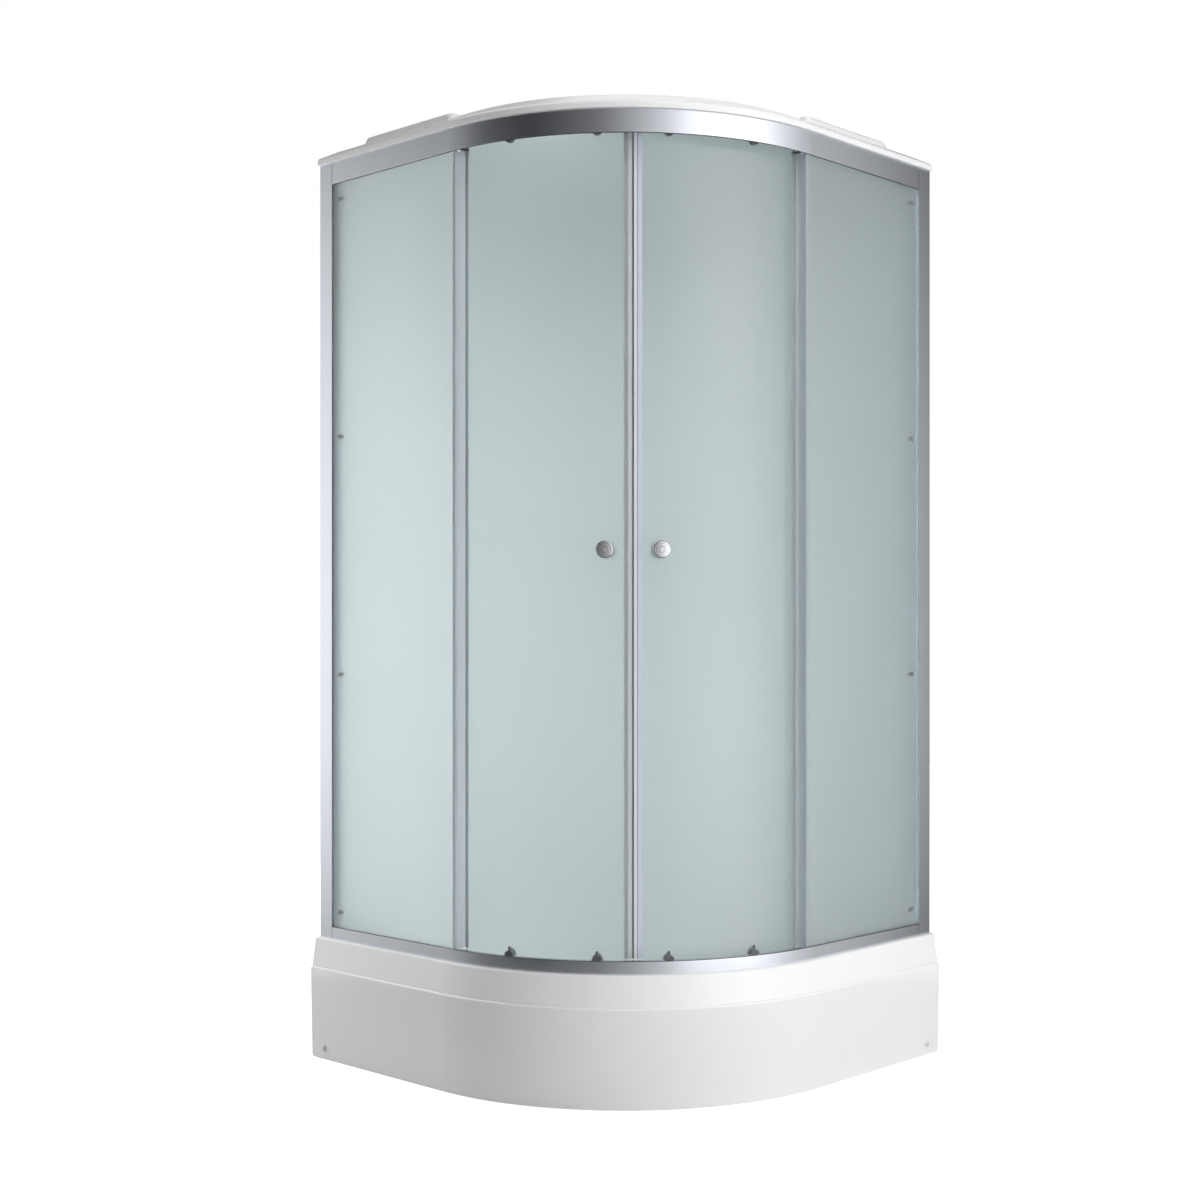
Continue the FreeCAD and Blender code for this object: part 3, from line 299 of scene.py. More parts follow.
def threaded_rod(shape, foot, length):
    """A rod whose radius follows a helix of one pitch."""
    count = round(length / thread_pitch * thread_rings)
    rings = []
    for ring in range(count + 1):
        height = length * ring / count
        row = []
        for step in range(thread_steps):
            turn = step / thread_steps
            phase = (height / thread_pitch - turn) % 1
            radius = rod_radius - thread_depth * abs(2 * phase - 1)
            angle = 2 * math.pi * turn
            point = Vector((radius * math.cos(angle), radius * math.sin(angle), height))
            row.append(shape.verts.new(foot + point))
        rings.append(row)
    skin(shape, rings, closed=True)


for x_sign, y_sign in corner_signs:
    plan = Vector((x_sign * grid, y_sign * grid, 0))
    threaded_rod(rods, plan + Vector((0, 0, rod_low.z)), rod_high.z - rod_low.z)
    lathe(pads, pad_outline, pad_steps, Matrix.Translation(plan))
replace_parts(piece("threaded_feet", rods, zinc_plate, "cabin", sharp=60), "foot_rods")
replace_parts(piece("rubber_feet", pads, rubber, "cabin"), "foot_pads")


# Tray: one vacuum-formed acrylic shell, glossy white on top and backed with glass fibre and resin
# underneath. Rings of low pips on the basin floor keep bare feet from slipping.

acrylic_white = (0.86, 0.86, 0.86, 1)
acrylic_shade = (0.83, 0.835, 0.84, 1)
acrylic_skin = {"Colour": acrylic_white, "Shade": acrylic_shade,
                "Peel": 160.0, "Smooth": 0.10, "Rough": 0.17}
acrylic_coat = {"Coat_Weight": 0.2, "Coat_Roughness": 0.05}
acrylic_depth = 0.00003
resin_pale = (0.62, 0.60, 0.50, 1)
resin_dark = (0.48, 0.46, 0.37, 1)
resin_rough = 0.6
backing_start, backing_full = -0.3, -0.6
pip_radius = 0.0045
pip_rise = 0.0011
pip_spacing = 0.040
pip_rings = (0.10, 0.14, 0.18, 0.22, 0.26)
pip_lifts = (0, 25, 50, 72)
pip_steps = 12


def between(tree, share, first, second):
    """The number that lies between two others by share."""
    return place(tree, "Mix", {0: share, 2: first, 3: second}).outputs[0]


acrylic = grouped("white_acrylic", moulded_skin, acrylic_skin, acrylic_depth, **acrylic_coat)

# The shell's own finish is the same acrylic, but faces that look down show the fibres' resin.
backed_acrylic, tree, shader = new_finish("backed_acrylic", **acrylic_coat)
outs = place(tree, "Group", acrylic_skin, node_tree=moulded_skin).outputs
fibres = place(tree, "TexWave", {"Vector": object_point(tree), "Scale": 90.0, "Distortion": 14.0,
                                 "Detail": 3.0, "Detail Scale": 2.0}).outputs["Fac"]
outlook = place(tree, "SeparateXYZ", {"Vector": place(tree, "NewGeometry").outputs["Normal"]})
backing = spread(tree, outlook.outputs["Z"], 0.0, 1.0, start=backing_start, end=backing_full)
feed(tree, shader,
     Base_Color=tint(tree, backing, outs["Colour"], tint(tree, fibres, resin_dark, resin_pale)),
     Roughness=between(tree, backing, outs["Roughness"], resin_rough))
emboss(tree, shader, outs["Height"], acrylic_depth)
dress(backed_acrylic, "tray")

cover_low, cover_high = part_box("drain_cover")
drain_spot = (cover_low + cover_high) / 2
drain_spot.z = cover_low.z
pip_outline = [(pip_radius * math.cos(math.radians(lift)), pip_rise * math.sin(math.radians(lift)))
               for lift in pip_lifts]
pips = bmesh.new()
for ring in pip_rings:
    for spot in round_spots(drain_spot, ring, round(2 * math.pi * ring / pip_spacing)):
        lathe(pips, [(0, 0)] + pip_outline + [(0, pip_rise)], pip_steps, Matrix.Translation(spot))
piece("grip_pips", pips, acrylic, "cabin", sharp=80)


# Drain: a polished pressed cover with radial slots lies over the hole, and a white moulded trap
# hangs below the basin with its spigot towards the back wall.

chrome_pale = (0.80, 0.80, 0.81, 1)
chrome_dark = (0.74, 0.74, 0.76, 1)
trap_white = (0.74, 0.74, 0.73, 1)
trap_shade = (0.69, 0.69, 0.68, 1)
cover_steps = 60
slot_steps = 5
slot_web = 2
cover_sheet = 0.0015
slot_start, slot_end = 0.30, 0.78
radius_shares = (0.14, slot_start, 0.46, 0.62, slot_end, 0.9, 0.97, 1.0)

chrome = drawn("chrome", chrome_pale, chrome_dark, stretch=(40.0, 40.0, 40.0), smooth=0.05,
               rough=0.10, depth=0.000002, Metallic=1.0)
trap_plastic = moulded("white_plastic", trap_white, trap_shade, peel=420.0, smooth=0.24, rough=0.36,
                       depth=0.00008)
dress(trap_plastic, "drain_trap")

cover_radius = (cover_high.x - cover_low.x) / 2
cover_rise = cover_high.z - cover_low.z - cover_sheet
cover_outline = [(0, cover_rise + cover_sheet)]
cover_outline += [(cover_radius * share, cover_sheet + cover_rise * (1 - share ** 2))
                  for share in radius_shares]
cover = bmesh.new()
lathe(cover, cover_outline, cover_steps, Matrix.Translation(drain_spot))
for face in list(cover.faces):
    middle = face.calc_center_median().to_2d() - drain_spot.to_2d()
    step = math.floor(math.atan2(middle.y, middle.x) / (2 * math.pi) * cover_steps) % slot_steps
    if slot_start < middle.length / cover_radius < slot_end and step >= slot_web:
        cover.faces.remove(face)
bmesh.ops.recalc_face_normals(cover, faces=cover.faces)
bmesh.ops.solidify(cover, geom=cover.faces[:], thickness=cover_sheet)
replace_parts(piece("drain_grate", cover, chrome, "cabin"), "drain_cover")


# Front skirt: a thin curved apron of the same acrylic that hides the frame. Its upper lip carries
# the band, and a snap-on domed cap hides the screw at each lower corner.

cap_white = (0.62, 0.62, 0.63, 1)
cap_shade = (0.55, 0.55, 0.56, 1)

dress(acrylic, "front_skirt")
cap_plastic = moulded("cap_plastic", cap_white, cap_shade, peel=500.0, smooth=0.22, rough=0.32,
                      depth=0.00004)
dress(cap_plastic, "skirt_caps")


# Back walls: two white panels stand on the rear rim against the room's walls, with a flat column
# across their corner that carries the water fittings.

dress(acrylic, "left_back_panel", "right_back_panel", "corner_column")


# Water fittings: a chromed single-lever mixer, a diverter knob, and an arm with a flat overhead
# shower. The head's soft nozzles can be rubbed clean, and two enamel dots mark hot and cold.

nozzle_grey = (0.20, 0.21, 0.22, 1)
nozzle_shade = (0.15, 0.155, 0.165, 1)
hot_red = (0.55, 0.02, 0.02, 1)
cold_blue = (0.02, 0.09, 0.45, 1)
nozzle_radius = 0.0022
nozzle_length = 0.0024
nozzle_shares = ((0, 0), (1, 0), (0.8, 0.8), (0.55, 1), (0.3, 0.7), (0, 0.7))
nozzle_rings = {0.016: 6, 0.034: 12, 0.052: 18, 0.070: 24}
nozzle_steps = 10
dot_radius = 0.0032
dot_rise = 0.0006
dot_shares = ((0, 0), (1, 0), (0.9, 0.8), (0, 1))
dot_offset = 0.034
dot_steps = 24
barrel_length = 0.0343


def facing(point, direction):
    """A frame at a point with its Z axis along a direction."""
    turned = Vector(direction).to_track_quat("Z", "Y").to_matrix().to_4x4()
    return Matrix.Translation(point) @ turned


def scaled(shares, radius, rise):
    """An outline's shares of a radius and a rise, as (radius, height) points."""
    return [(radius * across, rise * along) for across, along in shares]


dress(chrome, "mixer_body", "mixer_collar", "mixer_lever", "diverter_knob", "shower_arm",
      "shower_head")

soft_grey = moulded("nozzle_rubber", nozzle_grey, nozzle_shade, peel=900.0, smooth=0.5, rough=0.65,
                    depth=0.00005)
head_axis = Vector(joints["head_tilt"]["pos_m"])
head_middle = Vector((head_axis.x, head_axis.y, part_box("shower_head")[0].z))
nozzle_outline = scaled(nozzle_shares, nozzle_radius, nozzle_length)
nozzles = bmesh.new()
for ring, count in nozzle_rings.items():
    for spot in round_spots(head_middle, ring, count):
        lathe(nozzles, nozzle_outline, nozzle_steps, facing(spot, (0, 0, -1)))
piece("head_nozzles", nozzles, soft_grey, "shower_head", sharp=60)

mixer = joints["mixer_turn"]
mixer_axis = Vector(mixer["axis"])
sideways = mixer_axis.cross(Vector((0, 0, 1)))
plate_middle = Vector(mixer["pos_m"]) - mixer_axis * barrel_length
for name, side, colour in (("hot_dot", -1, hot_red), ("cold_dot", 1, cold_blue)):
    enamel = moulded(f"{name}_enamel", colour, colour, peel=300.0, smooth=0.08, rough=0.14,
                     depth=0.00001)
    dot = bmesh.new()
    lathe(dot, scaled(dot_shares, dot_radius, dot_rise), dot_steps,
          facing(plate_middle + sideways * side * dot_offset, mixer_axis))
    piece(name, dot, enamel, "cabin")


# Wall profiles: satin anodised extrusions, held to the room's walls by cross-head screws. A lip
# behind the fixed glass carries small black clips, whose rounded noses bear on the glass.

satin_pale = (0.71, 0.735, 0.785, 1)
satin_dark = (0.56, 0.58, 0.62, 1)
clip_black = (0.036, 0.038, 0.041, 1)
clip_shade = (0.026, 0.028, 0.031, 1)
nose_outline = ((0.0023, 0), (0.0023, 0.0035), (0.0016, 0.0052), (0, 0.006))
nose_height = 1.7
nose_steps = 20
same_point = 0.00001
cross_half = 0.14
cross_reach = 0.55
cross_depth = 0.5
head_rings = 14
head_steps = 48

upright_satin = drawn("satin_uprights", satin_pale, satin_dark, stretch=(1500.0, 1500.0, 3.0),
                      smooth=0.2, rough=0.3, depth=0.00002, Metallic=1.0)
dress(upright_satin, "left_wall_profile", "right_wall_profile")
clip_plastic = moulded("clip_plastic", clip_black, clip_shade, peel=800.0, smooth=0.4, rough=0.55,
                       depth=0.00006)
dress(clip_plastic, "left_glass_clips", "right_glass_clips")


def islands(name):
    """The boxes of a node's separate solids, each a low and a high corner."""
    shape = bmesh.new()
    shape.from_mesh(nodes[name].data)
    bmesh.ops.remove_doubles(shape, verts=shape.verts, dist=same_point)
    waiting = set(shape.verts)
    boxes = []
    while waiting:
        front = [waiting.pop()]
        solid = []
        while front:
            vertex = front.pop()
            solid.append(vertex.co.copy())
            near = {edge.other_vert(vertex) for edge in vertex.link_edges} & waiting
            waiting -= near
            front.extend(near)
        boxes.append((Vector(map(min, *solid)), Vector(map(max, *solid))))
    shape.free()
    return sorted(boxes, key=lambda corners: tuple(corners[0]))


def cross_heads(name, node):
    """Domed screw heads with a cross recess, where a node's solids are."""
    outward = (Vector((-1, 0, 0)), Vector((0, 1, 0)), Vector((0, 0, -1)))
    heads = bmesh.new()
    for low, high in islands(node):
        size = high - low
        axis = min(range(3), key=lambda side: size[side])
        radius, rise = max(size) / 2, size[axis]
        spot = facing((low + high) / 2 - outward[axis] * rise / 2, outward[axis])
        rings = [[heads.verts.new(spot.translation)]]
        for ring in range(head_rings, -1, -1):
            share = ring / head_rings
            row = []
            for step in range(head_steps if ring else 1):
                angle = 2 * math.pi * step / head_steps
                x, y = share * math.cos(angle), share * math.sin(angle)
                near, far = sorted((abs(x), abs(y)))
                sunk = cross_depth if near < cross_half and far < cross_reach else 0
                height = rise * (1 - share ** 2 - sunk)
                row.append(heads.verts.new(spot @ Vector((radius * x, radius * y, max(height, 0)))))
            rings.append(row)
        skin(heads, rings)
    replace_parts(piece(name, heads, zinc_plate, "cabin"), node)


cross_heads("profile_screw_heads", "profile_screws")

for side, along, edge in (("left", Vector((1, 0, 0)), 1), ("right", Vector((0, -1, 0)), 0)):
    noses = bmesh.new()
    for clip in islands(f"{side}_glass_clips"):
        middle = (clip[0] + clip[1]) / 2
        start = middle + along * (clip[edge] - middle).dot(along)
        taller = Matrix.Diagonal((1, nose_height, 1, 1))
        lathe(noses, nose_outline, nose_steps, facing(start, along) @ taller)
    piece(f"{side}_clip_noses", noses, clip_plastic, "cabin")


# Rails: the same anodised extrusion, bent to the bow and butted between the profiles. Each has a
# channel for the fixed glass, a lip for the wheels and a thin black gasket along its inner edge,
# whose black is also painted shade: the thin dark line where the rail's edge meets the glass.
# Grey blocks stop the doors.

bow_centre = Vector((-0.05, 0.05))
stop_grey = (0.155, 0.160, 0.168, 1)
stop_shade = (0.125, 0.129, 0.136, 1)
gasket_and_shade_black = (0.018, 0.019, 0.021, 1)
gasket_and_shade_grey = (0.032, 0.033, 0.036, 1)
gasket_inset = 0.0002
gasket_width = 0.0015
gasket_height = 0.0011
gasket_section = ((gasket_inset, 0), (gasket_inset, gasket_height),
                  (gasket_width, gasket_height), (gasket_width, 0))
gasket_steps = 48

rail_satin = drawn("satin_rails", satin_pale, satin_dark, stretch=(2.0, 2.0, 1800.0), smooth=0.18,
                   rough=0.28, depth=0.00001, Metallic=1.0)
dress(rail_satin, "upper_rail", "lower_rail")
dark_plastic = moulded("grey_plastic", stop_grey, stop_shade, peel=800.0, smooth=0.32, rough=0.48,
                       depth=0.00006)
dress(dark_plastic, "rail_stops")

# The gasket runs straight from one profile, round the bow, and straight to the other. Its black
# is partly painted shade along the rail's edge.
gasket_and_shade_rubber = moulded("gasket_and_shade_rubber", gasket_and_shade_grey, gasket_and_shade_black, peel=900.0, smooth=0.45,
                        rough=0.6, depth=0.00002)
for rail, edge, way in (("upper_rail", 0, -1), ("lower_rail", 1, 1)):
    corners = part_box(rail)
    reach = corners[1].x - bow_centre.x
    last = gasket_steps + 2
    gasket = bmesh.new()
    sections = []
    for step in range(last + 1):
        turn = math.radians(90 * min(max(step - 1, 0), gasket_steps) / gasket_steps)
        section = []
        for inset, height in gasket_section:
            spot = Vector((bow_centre.x + (reach - inset) * math.sin(turn),
                           bow_centre.y - (reach - inset) * math.cos(turn),
                           corners[edge].z + way * height))
            if step == 0:
                spot.x = corners[0].x
            if step == last:
                spot.y = corners[1].y
            section.append(gasket.verts.new(spot))
        sections.append(section)
    skin(gasket, sections, closed=True)
    piece(f"{rail}_gasket", gasket, gasket_and_shade_rubber, "cabin")


# Fixed glass: flat toughened panes, satin etched on the inside, held in both channels. A clear
# vinyl edge seal with a fin closes the gap to each door; light soaks through it from inside.

glass_pale = (0.87, 0.945, 0.95, 1)
glass_shade = (0.85, 0.93, 0.935, 1)
glass_smooth, glass_etched = 0.14, 0.62
cloud_scale = 1.8
pit_scale = 1400.0
pit_low, pit_high = 0.9, 1.1
pit_depth = 0.00002
vinyl_pale = (0.74, 0.84, 0.92, 1)
vinyl_shade = (0.70, 0.805, 0.89, 1)
vinyl_soak = (0.015, 0.016, 0.017)
vinyl_body = {"IOR": 1.25, "Subsurface_Weight": 1.0, "Subsurface_Scale": 1.0,
              "Subsurface_Radius": vinyl_soak}
vinyl_stretch = (700.0, 700.0, 2.0)
vinyl_depth = 0.000008

# Etching: rough on the face towards the bow's centre and smooth on the other, parted at a radius.
etching, given, result = new_group(
    "etching",
    {"Middle": "Float", "Smooth": "Float", "Etched": "Float"},
    {"Roughness": "Float", "Height": "Float"})
where = object_point(etching)
along = place(etching, "SeparateXYZ", {"Vector": where}).outputs
over_x = compute(etching, "SUBTRACT", along["X"], bow_centre.x)
over_y = compute(etching, "SUBTRACT", bow_centre.y, along["Y"])
reach = place(etching, "CombineXYZ", {"X": compute(etching, "MAXIMUM", over_x, 0.0),
                                      "Y": compute(etching, "MAXIMUM", over_y, 0.0)})
radius = place(etching, "VectorMath", {0: reach.outputs["Vector"]}, operation="LENGTH")
inside = compute(etching, "LESS_THAN", radius.outputs["Value"], given["Middle"])
pits = noise(etching, where, pit_scale, 1.0)
etched = compute(etching, "MULTIPLY", given["Etched"], spread(etching, pits, pit_low, pit_high))
etching.links.new(between(etching, inside, given["Smooth"], etched), result["Roughness"])
etching.links.new(compute(etching, "MULTIPLY", pits, inside), result["Height"])


def etched_pane(name, *panes):
    """Glass for panes of one radius, with a slow drift of tint."""
    finish, tree, shader = new_finish(name, IOR=1.5, Transmission_Weight=0.97)
    radii = []
    for pane in panes:
        for vertex in nodes[pane].data.vertices:
            over = Vector((max(vertex.co.x - bow_centre.x, 0), max(bow_centre.y - vertex.co.y, 0)))
            radii.append(over.length)
    cloud = noise(tree, object_point(tree), cloud_scale, 2.0)
    outs = place(tree, "Group", {"Middle": (min(radii) + max(radii)) / 2, "Smooth": glass_smooth,
                                 "Etched": glass_etched}, node_tree=etching).outputs
    feed(tree, shader, Base_Color=tint(tree, cloud, glass_shade, glass_pale),
         Roughness=outs["Roughness"])
    emboss(tree, shader, outs["Height"], pit_depth)
    dress(finish, *panes)


etched_pane("fixed_glass", "left_fixed_glass", "right_fixed_glass")

vinyl = drawn("clear_vinyl", vinyl_pale, vinyl_shade, stretch=vinyl_stretch, smooth=0.3, rough=0.42,
              depth=vinyl_depth, Transmission_Weight=0.4, **vinyl_body)
dress(vinyl, "left_fixed_seal", "right_fixed_seal")


# Doors: bent panes of the same glass, with a frosted or milky vinyl seal at each edge and black
# magnet strips where they meet. Grey brackets clamp each pane and carry nylon wheels, with sprung
# pins on the lower ones, and a turned chrome knob sits on each face.

nylon_pale = (0.52, 0.53, 0.53, 1)
nylon_shade = (0.44, 0.45, 0.45, 1)
knob_pale = (0.68, 0.685, 0.705, 1)
knob_dark = (0.46, 0.465, 0.49, 1)
knob_smooth, knob_rough = 0.24, 0.34
knob_turns = 130
knob_groove = 0.00004
frost_pale = (0.76, 0.87, 0.92, 1)
frost_shade = (0.72, 0.83, 0.885, 1)
milky_pale = (0.76, 0.82, 0.92, 1)
milky_shade = (0.68, 0.74, 0.85, 1)
milky_smooth, milky_rough = 0.16, 0.28
pocket_white = (0.88, 0.92, 0.97, 1)
painted_fold_shade = (0.40, 0.43, 0.48, 1)
pocket_end, fold_shade_start, fold_shade_end, lip_start = 0.33, 0.37, 0.43, 0.48
ripple_scale = 300.0
seal_width = 0.02
tip_reach = 0.0085
tip_share = 0.0048
magnet_black = (0.028, 0.029, 0.031, 1)
magnet_grey = (0.045, 0.046, 0.049, 1)
magnet_half_gap = 0.0002
magnet_margin = 0.0008
magnet_round = 0.0005
across = Vector((1, 1, 0)).normalized()
outward = Vector((1, -1, 0)).normalized()

frosted_vinyl = drawn("frosted_vinyl", frost_pale, frost_shade, stretch=vinyl_stretch, smooth=0.34,
                      rough=0.46, depth=vinyl_depth, Transmission_Weight=0.15, **vinyl_body)
nylon = moulded("wheel_nylon", nylon_pale, nylon_shade, peel=500.0, smooth=0.3, rough=0.42,
                depth=0.00005)
etched_pane("door_glass", "left_door_glass", "right_door_glass")
for side in ("left", "right"):
    dress(frosted_vinyl, f"{side}_rear_seal")
    dress(dark_plastic, f"{side}_upper_brackets", f"{side}_lower_brackets")
    dress(zinc_plate, f"{side}_bracket_screws")
    for knob in (f"{side}_outer_knob", f"{side}_inner_knob"):
        low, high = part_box(knob)
        finish, tree, shader = new_finish(f"{knob}_chrome", Metallic=1.0, Coat_Weight=0.5)
        where = place(tree, "VectorMath", {0: object_point(tree), 1: (low + high) / 2},
                      operation="SUBTRACT").outputs["Vector"]
        turns = place(tree, "TexWave", {"Vector": where, "Scale": knob_turns, "Distortion": 1.5,
                                        "Detail": 2.0},
                      wave_type="RINGS", rings_direction="SPHERICAL").outputs["Fac"]
        feed(tree, shader, Base_Color=tint(tree, turns, knob_dark, knob_pale),
             Roughness=spread(tree, turns, knob_smooth, knob_rough))
        emboss(tree, shader, turns, knob_groove)
        dress(finish, knob)
    for end in ("front", "rear"):
        dress(dark_plastic, f"{side}_release_pin_{end}")
        dress(nylon, f"{side}_upper_wheel_{end}", f"{side}_lower_wheel_{end}")

# The right door's closing seal: a white pocket for the magnet, a fold, and a lip on the glass.
# The grey band at the fold is painted shade in its crease.
milky_vinyl, tree, shader = new_finish("milky_vinyl", IOR=1.46, Transmission_Weight=0.2)
where = object_point(tree)
from_seam = place(tree, "VectorMath", {0: where, 1: across}, operation="DOT_PRODUCT")
share = spread(tree, from_seam.outputs["Value"], 0.0, 1.0, end=seal_width)
bands = place(tree, "ValToRGB", {"Fac": share})
bands.color_ramp.elements[0].color = pocket_white
bands.color_ramp.elements[1].color = milky_shade
# The grey band across the fold is painted shade, as if cast into the fold's crease.
for spot, colour in ((pocket_end, pocket_white), (fold_shade_start, painted_fold_shade), (fold_shade_end, painted_fold_shade),
                     (lip_start, milky_pale)):
    bands.color_ramp.elements.new(spot).color = colour
ripple = noise(tree, where, ripple_scale, 2.0)
feed(tree, shader, Base_Color=bands.outputs["Color"],
     Roughness=spread(tree, ripple, milky_smooth, milky_rough))
emboss(tree, shader, ripple, vinyl_depth)
dress(frosted_vinyl, "left_magnet_seal")
dress(milky_vinyl, "right_magnet_seal")

# The strips lie on the seals' noses, which face each other across the bow's middle.
tip_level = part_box("upper_rail")[0].z + tip_reach
magnet_rubber = moulded("magnet_rubber", magnet_grey, magnet_black, peel=900.0, smooth=0.4,
                        rough=0.55, depth=0.00002)
for side, sign in (("left", -1), ("right", 1)):
    corners = [vertex.co for vertex in nodes[f"{side}_magnet_seal"].data.vertices]
    nose = min(sign * corner.dot(across) for corner in corners)
    depths = [corner.dot(outward) for corner in corners
              if sign * corner.dot(across) < nose + magnet_margin]
    back, front = min(depths) + magnet_margin, max(depths) - magnet_margin
    outline = [(nose, back), (magnet_half_gap, back), (magnet_half_gap, front - magnet_round),
               (magnet_half_gap + magnet_round, front), (nose, front)]
    strip = bmesh.new()
    ends = []
    for height in (min(corner.z for corner in corners), tip_level):
        level = Vector((0, 0, height))
        ends.append([strip.verts.new(across * sign * along + outward * depth + level)
                     for along, depth in outline])
    skin(strip, ends, closed=True)
    piece(f"{side}_magnet_strip", strip, magnet_rubber, f"{side}_door", sharp=50)


def seal_tip(name, seal, finish, low, high):
    """A length of a door seal's own section above its top."""
    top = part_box(seal)[1].z
    tip = bmesh.new()
    tip.from_mesh(nodes[seal].data)
    lower = [face for face in tip.faces
             if min(vertex.co.z for vertex in face.verts) < top - same_point]
    bmesh.ops.delete(tip, geom=lower, context="FACES")
    bmesh.ops.remove_doubles(tip, verts=tip.verts, dist=same_point)
    foot = tip.verts[:]
    bmesh.ops.extrude_face_region(tip, geom=tip.faces[:], use_keep_orig=True)
    for vertex in tip.verts:
        vertex.co.z = low if vertex in foot else high
    piece(name, tip, finish, seal.split("_")[0] + "_door")


# Each door seal ends behind the rail's face: the closing seals in a tip, the rear ones in a tip
# with a grey bung on it.
for side, closing in (("left", frosted_vinyl), ("right", milky_vinyl)):
    rear = f"{side}_rear_seal"
    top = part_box(rear)[1].z
    split = top + tip_share
    seal_tip(f"{side}_magnet_tip", f"{side}_magnet_seal", closing, top, tip_level)
    seal_tip(f"{side}_rear_tip", rear, frosted_vinyl, top, split)
    seal_tip(f"{side}_rear_bung", rear, dark_plastic, split, tip_level)


# Roof: a moulded white cap on the upper rail with a rounded rim, a raised block along each front
# and a shallow dome, held by cross-head screws up through the rail.

dress(acrylic, "roof")
cross_heads("roof_screw_heads", "roof_screws")


# Camera: level, at chest height and off the corner's diagonal. Its long lens and small shift give
# the photograph's framing.

view_yaw = math.radians(43.18)
camera_spot = Vector((2.459, -2.611, 0.8585))
lens = 53.16
sensor = 36.0
frame_shift = 0.025

camera = bpy.data.objects.new("camera", bpy.data.cameras.new("camera"))
camera.data.lens = lens
camera.data.sensor_width = sensor
camera.data.shift_x = -frame_shift
camera.data.shift_y = frame_shift
camera.location = camera_spot
camera.rotation_euler = (math.pi / 2, 0, view_yaw)
bpy.context.scene.collection.objects.link(camera)
bpy.context.scene.camera = camera


# Studio: a white floor and surround with soft lamps, one of them inside, by the left wall. A flag
# shades the left back wall, and a glowing card, dark at the left front and bright at the right,
# stands round the cabin for reflections and panes only, on a black cloth for reflections only.

white = (1, 1, 1, 1)
black = (0, 0, 0, 1)
ambient = 0.2
floor_white = (0.8, 0.8, 0.8, 1)
floor_rough = 0.9
floor_glow = 0.62
floor_side = 14.0
shadow_near, shadow_far = 0.7, 1.8
cabin_middle = (0, 0, 0.9)
lamp_distance = 3.0
lamp_height = 1.1
flag_x = -0.47
flag_front, flag_back, flag_top = -0.41, 0.8, 2.1
card_radius = 1.35
card_heights = (0.02, 0.3, 0.6, 0.9, 1.2, 1.5, 1.8, 2.1, 2.4, 2.7, 3.0)
card_steps = 120
card_middle = 0.8
card_reach = 1.2
card_drop = 0.75
# The card's bearings, each with its glow and how far that fades above and below the middle.
card_glow = [(-180, 1.0, 0), (-145, 1.2, 0.5), (-115, 1.8, 0.5), (-97, 1.4, 0.5), (-80, 1.0, 0.5),
             (-62, 0.3, 0.5), (-40, 0.12, 0.5), (-10, 0.33, 0.3), (5, 0.65, 0.1), (16, 1.0, 0.1),
             (27, 1.8, 0.1), (40, 2.0, 0.1), (56, 2.1, 0.1), (70, 1.6, 0.3), (89, 1.2, 0.5),
             (103, 0.05, 0.5), (135, 0.05, 0.5), (155, 0.8, 0), (180, 1.0, 0)]
cloth_lift = 0.002


def from_bearing(bearing, distance, height):
    """A point around the cabin; bearings are degrees from the camera, positive to its right."""
    turn = math.radians(bearing) + view_yaw - math.pi / 2
    return Vector((distance * math.cos(turn), distance * math.sin(turn), height))


def soft_lamp(name, spot, target, width, tall, watts, through):
    """A rectangular lamp that no mirror shows; panes show it where through is true."""
    data = bpy.data.lights.new(name, "AREA")
    data.shape = "RECTANGLE"
    data.size, data.size_y = width, tall
    data.energy = watts
    made = bpy.data.objects.new(name, data)
    made.location = spot
    made.rotation_euler = (Vector(target) - Vector(spot)).to_track_quat("-Z", "Y").to_euler()
    made.visible_camera = made.visible_glossy = False
    made.visible_transmission = through
    bpy.context.scene.collection.objects.link(made)


def studio_piece(name, shape, finish, hidden_from=()):
    """A piece of the studio, hidden from the kinds of ray that are named."""
    mesh = bpy.data.meshes.new(name)
    shape.to_mesh(mesh)
    shape.free()
    mesh.materials.append(finish)
    made = bpy.data.objects.new(name, mesh)
    for ray in hidden_from:
        setattr(made, f"visible_{ray}", False)
    bpy.context.scene.collection.objects.link(made)


def seen_directly(tree):
    """One for the rays that show the background itself: camera, reflection and transmission."""
    path = place(tree, "LightPath").outputs
    either = compute(tree, "MAXIMUM", path["Is Camera Ray"], path["Is Glossy Ray"])
    return compute(tree, "MAXIMUM", either, path["Is Transmission Ray"])


def glow_at(bearing, height):
    """The card's glow: from its list by bearing, fading above and below its middle."""
    for (start, *first), (end, *second) in zip(card_glow, card_glow[1:]):
        if start <= bearing <= end:
            share = (bearing - start) / (end - start)
            level, fade = (low + (high - low) * share for low, high in zip(first, second))
    reach = card_reach if height > card_middle else card_drop
    return level * max(0, 1 - fade * ((height - card_middle) / reach) ** 2)


soft_lamp("key_lamp", from_bearing(50, lamp_distance, lamp_height), cabin_middle,
          width=1.4, tall=2.2, watts=54, through=True)
soft_lamp("left_lamp", from_bearing(-118, lamp_distance, lamp_height), cabin_middle,
          width=1.0, tall=2.2, watts=105, through=False)
soft_lamp("top_lamp", from_bearing(15, distance=1.6, height=4.2), cabin_middle,
          width=2.0, tall=2.0, watts=50, through=True)
soft_lamp("wall_lamp", spot=(0.15, -0.15, 0.88), target=(-0.45, -0.35, 0.86),
          width=0.3, tall=1.7, watts=3.9, through=False)
soft_lamp("back_lamp", from_bearing(-165, lamp_distance, height=1.3), cabin_middle,
          width=1.6, tall=2.2, watts=30, through=False)

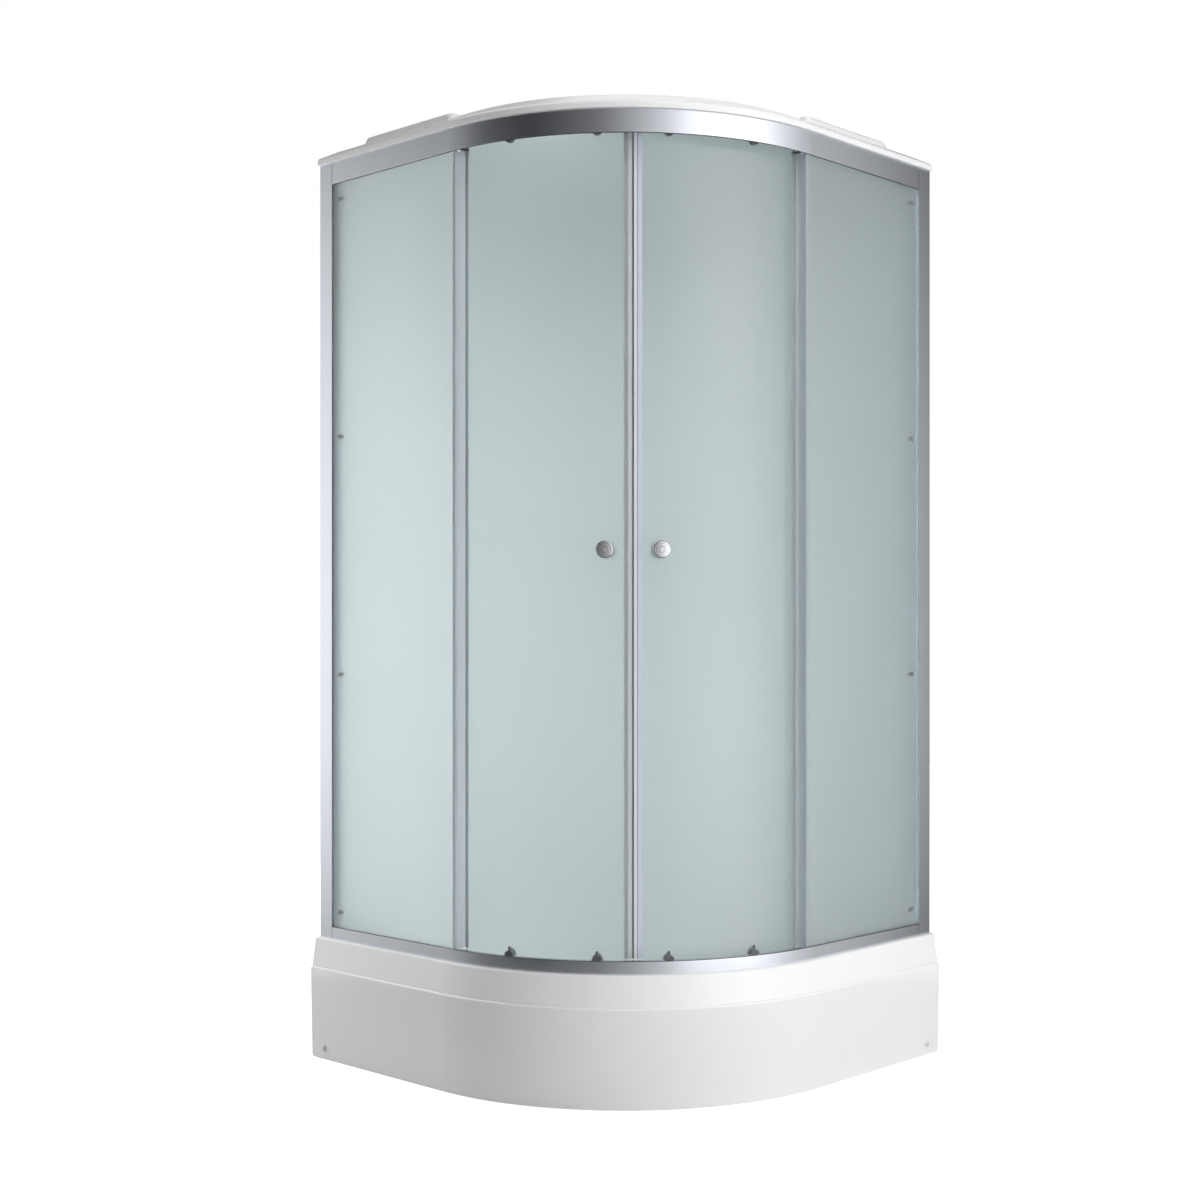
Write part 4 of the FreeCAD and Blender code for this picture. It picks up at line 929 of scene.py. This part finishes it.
# The black flag stands just off the left back wall and keeps the strong left lamp off it.
matt_black = {"Base_Color": black, "Roughness": 1.0, "Specular_IOR_Level": 0.0}
flag_finish = new_finish("studio_flag", **matt_black)[0]
flag_corners = ((flag_front, 0), (flag_back, 0), (flag_back, flag_top), (flag_front, flag_top))
flag = bmesh.new()
flag.faces.new([flag.verts.new((flag_x, y, z)) for y, z in flag_corners])
studio_piece("studio_flag", flag, flag_finish, ("camera", "diffuse", "glossy", "transmission"))

world = bpy.data.worlds.new("surround")
bpy.context.scene.world = world
world.use_nodes = True
tree = world.node_tree
background = tree.nodes["Background"]
background.inputs["Color"].default_value = white
feed(tree, background, Strength=spread(tree, seen_directly(tree), ambient, 1.0))

# The floor glows up to white away from the cabin, and less near it, where the shadow lies.
floor_finish, tree, shader = new_finish(
    "studio_floor", Base_Color=floor_white, Roughness=floor_rough, Specular_IOR_Level=0.0,
    Emission_Color=white)
away = place(tree, "VectorMath", {0: object_point(tree)}, operation="LENGTH").outputs["Value"]
level = spread(tree, away, floor_glow, 1.0, start=shadow_near, end=shadow_far)
feed(tree, shader, Emission_Strength=compute(tree, "MULTIPLY", level, seen_directly(tree)))
floor = bmesh.new()
bmesh.ops.create_grid(floor, x_segments=2, y_segments=2, size=floor_side / 2)
studio_piece("floor", floor, floor_finish)

card_finish, tree, shader = new_finish("studio_card", Emission_Strength=1.0, **matt_black)
feed(tree, shader, Emission_Color=place(tree, "Attribute", attribute_name="glow").outputs["Color"])
card = bmesh.new()
tone = card.verts.layers.float_color.new("glow")
columns = []
for step in range(card_steps):
    bearing = -180 + 360 * step / card_steps
    column = [card.verts.new(from_bearing(bearing, card_radius, height)) for height in card_heights]
    for vertex in column:
        vertex[tone] = (glow_at(bearing, vertex.co.z),) * 3 + (1,)
    columns.append(column)
for first, second in zip(columns, columns[1:] + columns[:1]):
    for low in range(len(card_heights) - 1):
        card.faces.new((first[low], second[low], second[low + 1], first[low + 1]))
studio_piece("reflection_card", card, card_finish, ("camera", "diffuse", "shadow"))

cloth_finish = new_finish("dark_cloth", **matt_black)[0]
cloth = bmesh.new()
bmesh.ops.create_circle(cloth, cap_ends=True, segments=card_steps, radius=card_radius,
                        matrix=Matrix.Translation((0, 0, cloth_lift)))
studio_piece("dark_cloth", cloth, cloth_finish, ("camera", "diffuse", "transmission", "shadow"))

bpy.context.scene.view_settings.view_transform = "Standard"
